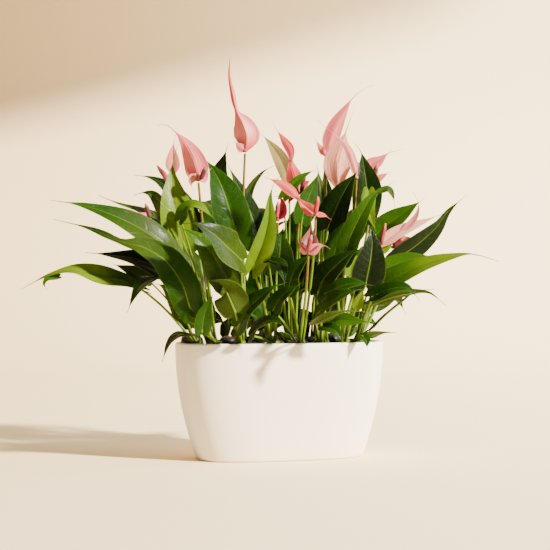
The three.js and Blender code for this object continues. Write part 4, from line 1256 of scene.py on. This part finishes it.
def roots_of(shoot):
    """Roots of a shoot's stalks in its crown, each on the side that its stalk leans to."""
    crown = crown_centre(shoot)
    bases = [seen(leaf["spine"][0]) for leaf in shoot["leaves"]]
    bases += [seen(bloom["base"]) for bloom in shoot["blooms"]]
    reach = crown_radius(len(bases)) - CROWN_EDGE
    roots = []
    for i, base in enumerate(bases):
        lean = (base - crown) * Vector((1, 1, 0))
        lean = lean.normalized() * reach * min(1, lean.length / FULL_LEAN)
        roots.append(lean + Vector((0.01 * i, 0, 0)))
    for _ in range(ROOT_ROUNDS):
        for i, root in enumerate(roots):
            for j, other in enumerate(roots):
                apart = root - other
                overlap = ROOT_GAP - apart.length
                if i != j and overlap > 0:
                    root += apart.normalized() * 0.5 * overlap
            if root.length > reach:
                root *= reach / root.length
    return [Vector((crown.x + root.x, crown.y + root.y, SOIL_TOP + ROOT_HEIGHT)) for root in roots]


def stalk_way(root, base, reach, bow):
    """A stalk rises from its crown and bends towards its blade."""
    steps = 8
    knee = Vector((
        mix(root.x, base.x, reach) + bow[0],
        mix(root.y, base.y, reach) + bow[1],
        mix(root.z, base.z, KNEE_HEIGHT)))
    way = []
    for i in range(steps + 1):
        t = i / steps
        way.append(root * (1 - t) ** 2 + knee * 2 * t * (1 - t) + base * t * t)
    return way


def leaf_parts(leaf, root, sizes, finishes):
    """Blade, stalk and midrib of one leaf."""
    upper, under, stem = finishes
    parts = [blade(leaf, LEAF_KIND, sizes.thickness, sizes.columns, sizes.stations, (upper, under))]
    spine = Spine([seen(spot) for spot in leaf["spine"]])
    slim = leaf["wide"] < NARROW_BLADE or leaf["spine"][0][2] > FAR_DEPTH
    rib = sizes.midrib / MM * min(1, leaf["wide"] / FULL_RIB_WIDTH)
    ridge = []
    rib_steps = 11
    for i in range(rib_steps + 1):
        point, normal = blade_point(leaf, LEAF_KIND, spine, RIB_REACH * i / rib_steps, 0)
        ridge.append(point - normal * mix(0.45 * rib, 0.2, i / rib_steps))
    tone = leaf["tones"].split()[0]
    rib_tone = "sheath" if tone == "brown" else "stem"
    parts.append(tube("midrib", ridge, lambda s: mix(rib, 0.25, s ** 0.7), rib_tone, stem,
                      sides=6, stations=12))
    if leaf.get("torn"):
        return parts
    radius = sizes.stalk / MM * (0.75 if slim else 1)
    way = stalk_way(root, spine.at(0), LEAF_REACH, leaf.get("bow", (0, 0)))
    way.append(spine.at(STALK_TIP / spine.length))

    def girth(s):
        flare = 1 + STALK_FLARE * max(0, 1 - 6 * s) ** 2
        joint = JOINT_SWELL * math.exp(-(((s - JOINT_PLACE) / JOINT_REACH) ** 2))
        return mix(radius, STALK_TAPER * radius, s) * (flare + joint)

    parts.append(tube("stalk", way, girth, "sheath stem stem stem " + rib_tone, stem,
                      sides=8, stations=18))
    return parts


def peduncle_part(bloom, root, sizes, stem):
    """The stalk of one bloom."""
    base = seen(bloom["base"])
    way = stalk_way(root, base, BLOOM_REACH, bloom.get("bow", (0, 0)))[:-1]
    way.append(Vector((base.x, base.y, base.z - 1)))
    radius = sizes.stalk / MM
    return tube("peduncle", way, lambda s: mix(radius, PEDUNCLE_TAPER * radius, s),
                "sheath stem stem stem ochre ochre", stem, sides=8, stations=20)


def crown_part(shoot, stem):
    """The crown stands in the soil, and its sheaths show among the pebbles."""
    centre = crown_centre(shoot)
    radius = crown_radius(len(shoot["leaves"]) + len(shoot["blooms"]))
    low = centre + Vector((0, 0, -CROWN_DEPTH))
    high = centre + Vector((0, 0, CROWN_ABOVE_SOIL))

    def fold(u, s):
        return CROWN_FOLD_DEPTH * math.sin(CROWN_FOLDS * u * math.tau) * s

    return tube("crown", [low, centre, high], lambda s: radius * (0.9 if s > 0.95 else 0.95),
                "sheath sheath stem", stem, sides=30, stations=8, knobs=fold)


def spathe_parts(bloom, sizes, finish):
    """A rolled bud, or a collar with the lobes of an open spathe."""
    base = seen(bloom["base"])
    if "bud" in bloom:
        foot = Vector((base.x, base.y, base.z + TOUCH_GAP))
        way = [foot] + [seen(spot) for spot in bloom["bud"]]

        def swell(s):
            return 0.5 + BUD_RADIUS * math.sin(math.pi * s ** 0.8) ** 0.8

        def wrap(u, s):
            return BUD_WRAP * math.sin(math.tau * (u + 1.5 * s)) * math.sin(math.pi * s)

        return [tube("bud", way, swell, "crimson magenta crimson ochre", finish,
                     sides=20, stations=24, knobs=wrap)]
    rises = [TOUCH_GAP + COLLAR_RISE * step / 3 for step in range(4)]
    levels = [Vector((base.x, base.y, base.z + rise)) for rise in rises]
    tone = bloom["blades"][0]["tones"].split()[0]
    parts = [tube("collar", levels, lambda s: COLLAR_RADIUS * (0.75 + 0.25 * math.sin(math.pi * s)),
                  "ochre " + tone, finish, sides=12, stations=6)]
    for row in bloom["blades"]:
        x, z, depth = bloom["base"]
        start = row["spine"][0] if row.get("torn") else (x, z + LOBE_RISE, depth)
        lobe = dict(row, spine=[start, *row["spine"][1:]])
        parts.append(blade(lobe, SPATHE_KIND, sizes.thickness, sizes.columns, sizes.stations,
                           (finish, finish)))
    return parts


def spadix_part(bloom, sizes, finish):
    """A spadix springs from the side of its spathe's collar and is set with small round florets."""
    low, high = [seen(spot) for spot in bloom["spadix"]]
    collar = seen(bloom["base"])
    collar.z += TOUCH_GAP + SPADIX_RISE
    lean = ((low - collar) * Vector((1, 1, 0))).normalized() * (COLLAR_RADIUS + 2 * TOUCH_GAP)
    way = [collar + lean, *[low.lerp(high, t) for t in (0.08, 0.4, 0.75, 1)]]
    radius = sizes.spadix / MM

    def girth(s):
        return radius * (0.25 + 0.7 * eased(s / 0.22)) * (1 - 0.6 * eased((s - 0.72) / 0.28))

    def florets(u, s):
        row = s * FLORET_ROWS
        column = u * FLORET_COLUMNS + 0.5 * (int(row) % 2)
        bump = math.sin(math.pi * (row % 1)) * math.sin(math.pi * (column % 1))
        return FLORET_HEIGHT * abs(bump) * eased(s / 0.2)

    return tube("spadix", way, girth, bloom["spike"], finish,
                sides=4 * FLORET_COLUMNS, stations=3 * FLORET_ROWS, knobs=florets)


# Operators


class OBJECT_OT_anthurium_planter(bpy.types.Operator):
    """Models the oval planter and finishes it in a satin glaze"""

    bl_idname = "object.anthurium_planter"
    bl_label = "Planter"

    def execute(self, context):
        sizes = context.scene.anthurium_planter
        levels = wall_levels(sizes)
        turn_at = even_oval()

        def place(u, v):
            z, inset, share = levels[round(v * (len(levels) - 1))]
            point = oval_point(half_length(sizes, z), z, turn_at(u), inset)
            return Vector((point.x * share, point.y * share, z))

        piece = welded(grid("planter", PLANTER_SIDES, len(levels) - 1, place), outward=True)
        dressed(piece, glaze_finish(sizes.glaze))
        settled(joined("planter_shell", [piece]), "planter")
        return {"FINISHED"}


class OBJECT_OT_anthurium_soil(bpy.types.Operator):
    """Gives the potting soil its crumbly finish"""

    bl_idname = "object.anthurium_soil"
    bl_label = "Soil"

    def execute(self, context):
        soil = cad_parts["soil"]
        soil.data.materials.clear()
        soil.data.materials.append(soil_finish(context.scene.anthurium_pebbles.soil))
        return {"FINISHED"}


class OBJECT_OT_anthurium_pebbles(bpy.types.Operator):
    """Heaps smooth river pebbles on a bed of grit, each where its solid has one"""

    bl_idname = "object.anthurium_pebbles"
    bl_label = "Pebbles"

    def execute(self, context):
        sizes = context.scene.anthurium_planter
        looks = context.scene.anthurium_pebbles
        finish = stone_finish(looks.stone, looks.vein)
        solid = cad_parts["pebbles"].data.vertices
        tree = kdtree.KDTree(len(solid))
        for vertex in solid:
            tree.insert(vertex.co / MM, vertex.index)
        tree.balance()
        grit = SeededDraw(GRIT_SEED)
        parts = [self.bed(sizes, grit, finish)]
        draw = SeededDraw(PEBBLE_SEED)
        for layer in (0, 1):
            for row in range(-2, 3):
                for column in range(-4, 5):
                    stone = self.stone_spot(layer, row, column, draw)
                    share = self.inside(sizes, stone[0]) and self.share_in_solid(tree, *stone)
                    if share:
                        parts.append(self.stone(*stone, share, grit, finish))
        settled(joined("river_stones", parts), "pebbles")
        return {"FINISHED"}

    def bed(self, sizes, grit, finish):
        """A rough, thin bed of grit on the soil, between the planter's walls."""
        turn_at = even_oval()
        low, high = self.bed_levels()
        reach = half_length(sizes, low)
        levels = len(BED_RINGS) + 1

        def place(u, v):
            if v in (0, 1):
                return Vector((0, 0, low if v == 0 else high))
            level = round(v * levels)
            point = oval_point(reach, 0, turn_at(u), sizes.wall / MM + BED_GAP)
            z = low if level < 3 else high - BED_ROUGHNESS * grit()
            share = BED_RINGS[level - 1]
            return Vector((point.x * share, point.y * share, z))

        piece = welded(grid("bed", BED_SIDES, levels, place), outward=True)
        self.coloured(piece, BED_TINT)
        return dressed(piece, finish)

    def bed_levels(self):
        low = SOIL_TOP + TOUCH_GAP
        return low, low + PEBBLE_BED

    def coloured(self, piece, colour):
        tint = piece.data.color_attributes.new("tint", "FLOAT_COLOR", "CORNER")
        for corner in tint.data:
            corner.color = colour

    def stone_spot(self, layer, row, column, draw):
        """Centre, half sizes as shares of the spacing, and turn of one stone."""
        stagger = 0.5 if (row + layer) % 2 else 0
        x = (column + stagger + mix(-0.15, 0.15, draw())) * PEBBLE_SPACING
        y = (row + mix(-0.1, 0.1, draw())) * PEBBLE_SPACING * 0.85
        rise = PEBBLE_LIFT + layer * PEBBLE_LAYER
        z = self.bed_levels()[1] + rise + mix(0, 1.5, draw())
        ranges = ((0.58, 0.7), (0.46, 0.56), (0.3, 0.38))
        size = Vector([mix(least, most, draw()) for least, most in ranges])
        return Vector((x, y, z)), size, draw() * math.pi

    def inside(self, sizes, centre):
        """Whether a stone's centre lies well inside the rim."""
        rim = half_length(sizes, sizes.height / MM)
        inset = sizes.wall / MM + PEBBLE_INSET
        x = abs(centre.x / (rim - inset))
        y = abs(centre.y / (rim * DEPTH_TO_LENGTH - inset))
        return x ** OVAL_POWER + y ** OVAL_POWER <= 1

    def turned(self, point, turn):
        c, s = math.cos(turn), math.sin(turn)
        return Vector((point.x * c - point.y * s, point.x * s + point.y * c, point.z))

    def share_in_solid(self, tree, centre, size, turn):
        """The size at which a stone's corners are found among the solid's."""
        for share in PEBBLE_SHARES:
            found = 0
            for corner in stone_corners():
                place = self.turned(corner * size * share * PEBBLE_SPACING, turn) + centre
                found += tree.find(place)[2] < CORNER_FOUND
            if found > 1:
                return share
        return None

    def stone(self, centre, size, turn, share, grit, finish):
        """A water-worn stone: a ball, flattened, with soft hollows."""
        bpy.ops.object.select_all(action="DESELECT")
        bpy.ops.mesh.primitive_ico_sphere_add(subdivisions=4, radius=1)
        piece = bpy.context.object
        lean = [3 * mix(-1, 1, grit()) for _ in range(6)]
        for vertex in piece.data.vertices:
            p = vertex.co.copy()
            swell = 0.91 + 0.05 * math.sin(2.1 * p.x + lean[0]) * math.cos(1.7 * p.y + lean[1])
            swell += 0.03 * math.sin(4 * p.y + lean[2] + 2 * p.z)
            p = p * swell * size * share * PEBBLE_SPACING
            vertex.co = (self.turned(p, turn) + centre) * MM
        shade = mix(0.35, 1.0, grit())
        warmth = mix(0.8, 1.3, grit())
        self.coloured(piece, (shade * warmth, shade, shade / warmth, 1))
        return dressed(piece, finish)


class OBJECT_OT_anthurium_foliage(bpy.types.Operator):
    """Models the leaves, leaf stalks and flower stalks of each shoot"""

    bl_idname = "object.anthurium_foliage"
    bl_label = "Foliage"

    def execute(self, context):
        sizes = context.scene.anthurium_leaves
        finishes = (leaf_finish(sizes, False), leaf_finish(sizes, True), stalk_finish())
        for number, shoot in enumerate(SHOOTS, 1):
            roots = roots_of(shoot)
            parts = [crown_part(shoot, finishes[2])]
            for leaf, root in zip(shoot["leaves"], roots):
                parts += leaf_parts(leaf, root, sizes, finishes)
            for bloom, root in zip(shoot["blooms"], roots[len(shoot["leaves"]):]):
                parts.append(peduncle_part(bloom, root, sizes, finishes[2]))
            settled(joined(f"foliage_{number:02d}", parts), f"shoot_{number:02d}")
        return {"FINISHED"}


class OBJECT_OT_anthurium_blooms(bpy.types.Operator):
    """Models the pink spathe and the spadix of each bloom"""

    bl_idname = "object.anthurium_blooms"
    bl_label = "Blooms"

    def execute(self, context):
        sizes = context.scene.anthurium_blooms
        petal, grain = spathe_finish(sizes), spadix_finish()
        blooms = [bloom for shoot in SHOOTS for bloom in shoot["blooms"]]
        for number, bloom in enumerate(blooms, 1):
            spathe = joined(f"bloom_{number:02d}", spathe_parts(bloom, sizes, petal))
            settled(spathe, f"spathe_{number:02d}")
            if "spadix" in bloom:
                spike = joined(f"spike_{number:02d}", [spadix_part(bloom, sizes, grain)])
                settled(spike, f"spadix_{number:02d}")
        return {"FINISHED"}


class OBJECT_OT_anthurium_studio(bpy.types.Operator):
    """Sets up the floor that curves up into a backdrop, the light and the camera"""

    bl_idname = "object.anthurium_studio"
    bl_label = "Studio"

    def execute(self, context):
        settings = context.scene.anthurium_studio
        self.backdrop(settings)
        self.shade()
        self.light(context, settings)
        self.camera(context)
        return {"FINISHED"}

    def backdrop(self, settings):
        """The floor runs back from behind the eye, then curves up into the wall."""
        flat = FLOOR_BACK - FLOOR_FRONT
        arc = BEND_RADIUS * math.pi / 2

        def place(u, v):
            x = mix(-HALF_BREADTH, HALF_BREADTH, u)
            way = v * (flat + arc + WALL_HEIGHT)
            if way < flat:
                return in_part(Vector((x, FLOOR_FRONT + way, 0)))
            if way < flat + arc:
                turn = (way - flat) / BEND_RADIUS
                back, rise = BEND_RADIUS * math.sin(turn), BEND_RADIUS * (1 - math.cos(turn))
                return in_part(Vector((x, FLOOR_BACK + back, rise)))
            return in_part(Vector((x, FLOOR_BACK + BEND_RADIUS, BEND_RADIUS + way - flat - arc)))

        sweep = grid("backdrop", 8, 120, place)
        dressed(sweep, paper_finish(settings.paper))
        bpy.ops.object.shade_smooth()

    def shade(self):
        """A card out of the picture, that keeps the key light off a corner of the wall."""

        def place(u, v):
            edge = CARD_LOW + (CARD_HIGH - CARD_LOW) * mix(*CARD_REACH, u)
            return in_part(edge + Vector((0, 0, CARD_BREADTH * v)))

        card = grid("shade_card", 4, 4, place)
        dressed(card, paper_finish(CARD_COLOUR))

    def light(self, context, settings):
        bpy.ops.object.select_all(action="DESELECT")
        bpy.ops.object.light_add(type="SUN")
        key = context.object
        key.name = "key_light"
        key.rotation_mode = "QUATERNION"
        key.rotation_quaternion = in_part(KEY_WAY).to_track_quat("-Z", "Y")
        key.data.energy = settings.sun
        key.data.angle = math.radians(KEY_SOFTNESS)
        key.data.color = KEY_COLOUR
        bpy.ops.object.light_add(type="AREA")
        window = context.object
        window.name = "window_light"
        way = in_part(WINDOW_AIM - WINDOW_PLACE)
        window.location = in_part(WINDOW_PLACE) * MM
        window.rotation_mode = "QUATERNION"
        window.rotation_quaternion = way.to_track_quat("-Z", "Y")
        window.data.size = WINDOW_BREADTH * MM
        window.data.energy = settings.window
        window.data.color = WINDOW_COLOUR
        world = bpy.data.worlds.new("studio_air")
        world.use_nodes = True
        air = world.node_tree.nodes["Background"]
        air.inputs["Color"].default_value = AIR_COLOUR
        air.inputs["Strength"].default_value = settings.sky
        context.scene.world = world

    def camera(self, context):
        bpy.ops.object.camera_add()
        eye = context.object
        eye.name = "eye"
        eye.data.lens = LENS
        eye.data.sensor_width = 36
        eye.data.clip_start = 0.05
        eye.data.clip_end = 30
        eye.location = in_part(Vector((EYE_SHIFT, -EYE_DISTANCE, EYE_HEIGHT))) * MM
        eye.rotation_euler = (math.pi / 2, 0, -PLANT_TURN)
        context.scene.camera = eye


class VIEW3D_PT_anthurium(bpy.types.Panel):
    """Lists the plant's pieces and sizes"""

    bl_label = "Potted Lilli Anthurium"
    bl_space_type = "VIEW_3D"
    bl_region_type = "UI"
    bl_category = "Anthurium"

    def draw(self, context):
        for operator, settings in STEPS:
            self.layout.operator(operator.bl_idname)
            group = getattr(context.scene, settings)
            for name in group.__annotations__:
                self.layout.prop(group, name)


STEPS = (
    (OBJECT_OT_anthurium_planter, "anthurium_planter"),
    (OBJECT_OT_anthurium_soil, "anthurium_pebbles"),
    (OBJECT_OT_anthurium_pebbles, "anthurium_pebbles"),
    (OBJECT_OT_anthurium_foliage, "anthurium_leaves"),
    (OBJECT_OT_anthurium_blooms, "anthurium_blooms"),
    (OBJECT_OT_anthurium_studio, "anthurium_studio"),
)
GROUPS = {
    "anthurium_planter": PlanterSizes,
    "anthurium_pebbles": PebbleSizes,
    "anthurium_leaves": LeafSizes,
    "anthurium_blooms": BloomSizes,
    "anthurium_studio": StudioSettings,
}


def register():
    for name, group in GROUPS.items():
        bpy.utils.register_class(group)
        setattr(bpy.types.Scene, name, PointerProperty(type=group))
    for operator, _ in STEPS:
        bpy.utils.register_class(operator)
    bpy.utils.register_class(VIEW3D_PT_anthurium)


def unregister():
    bpy.utils.unregister_class(VIEW3D_PT_anthurium)
    for operator, _ in reversed(STEPS):
        bpy.utils.unregister_class(operator)
    for name, group in GROUPS.items():
        delattr(bpy.types.Scene, name)
        bpy.utils.unregister_class(group)


def main():
    register()
    bpy.ops.object.anthurium_planter()
    bpy.ops.object.anthurium_soil()
    bpy.ops.object.anthurium_pebbles()
    bpy.ops.object.anthurium_foliage()
    bpy.ops.object.anthurium_blooms()
    bpy.ops.object.anthurium_studio()


if __name__ == "__main__":
    main()
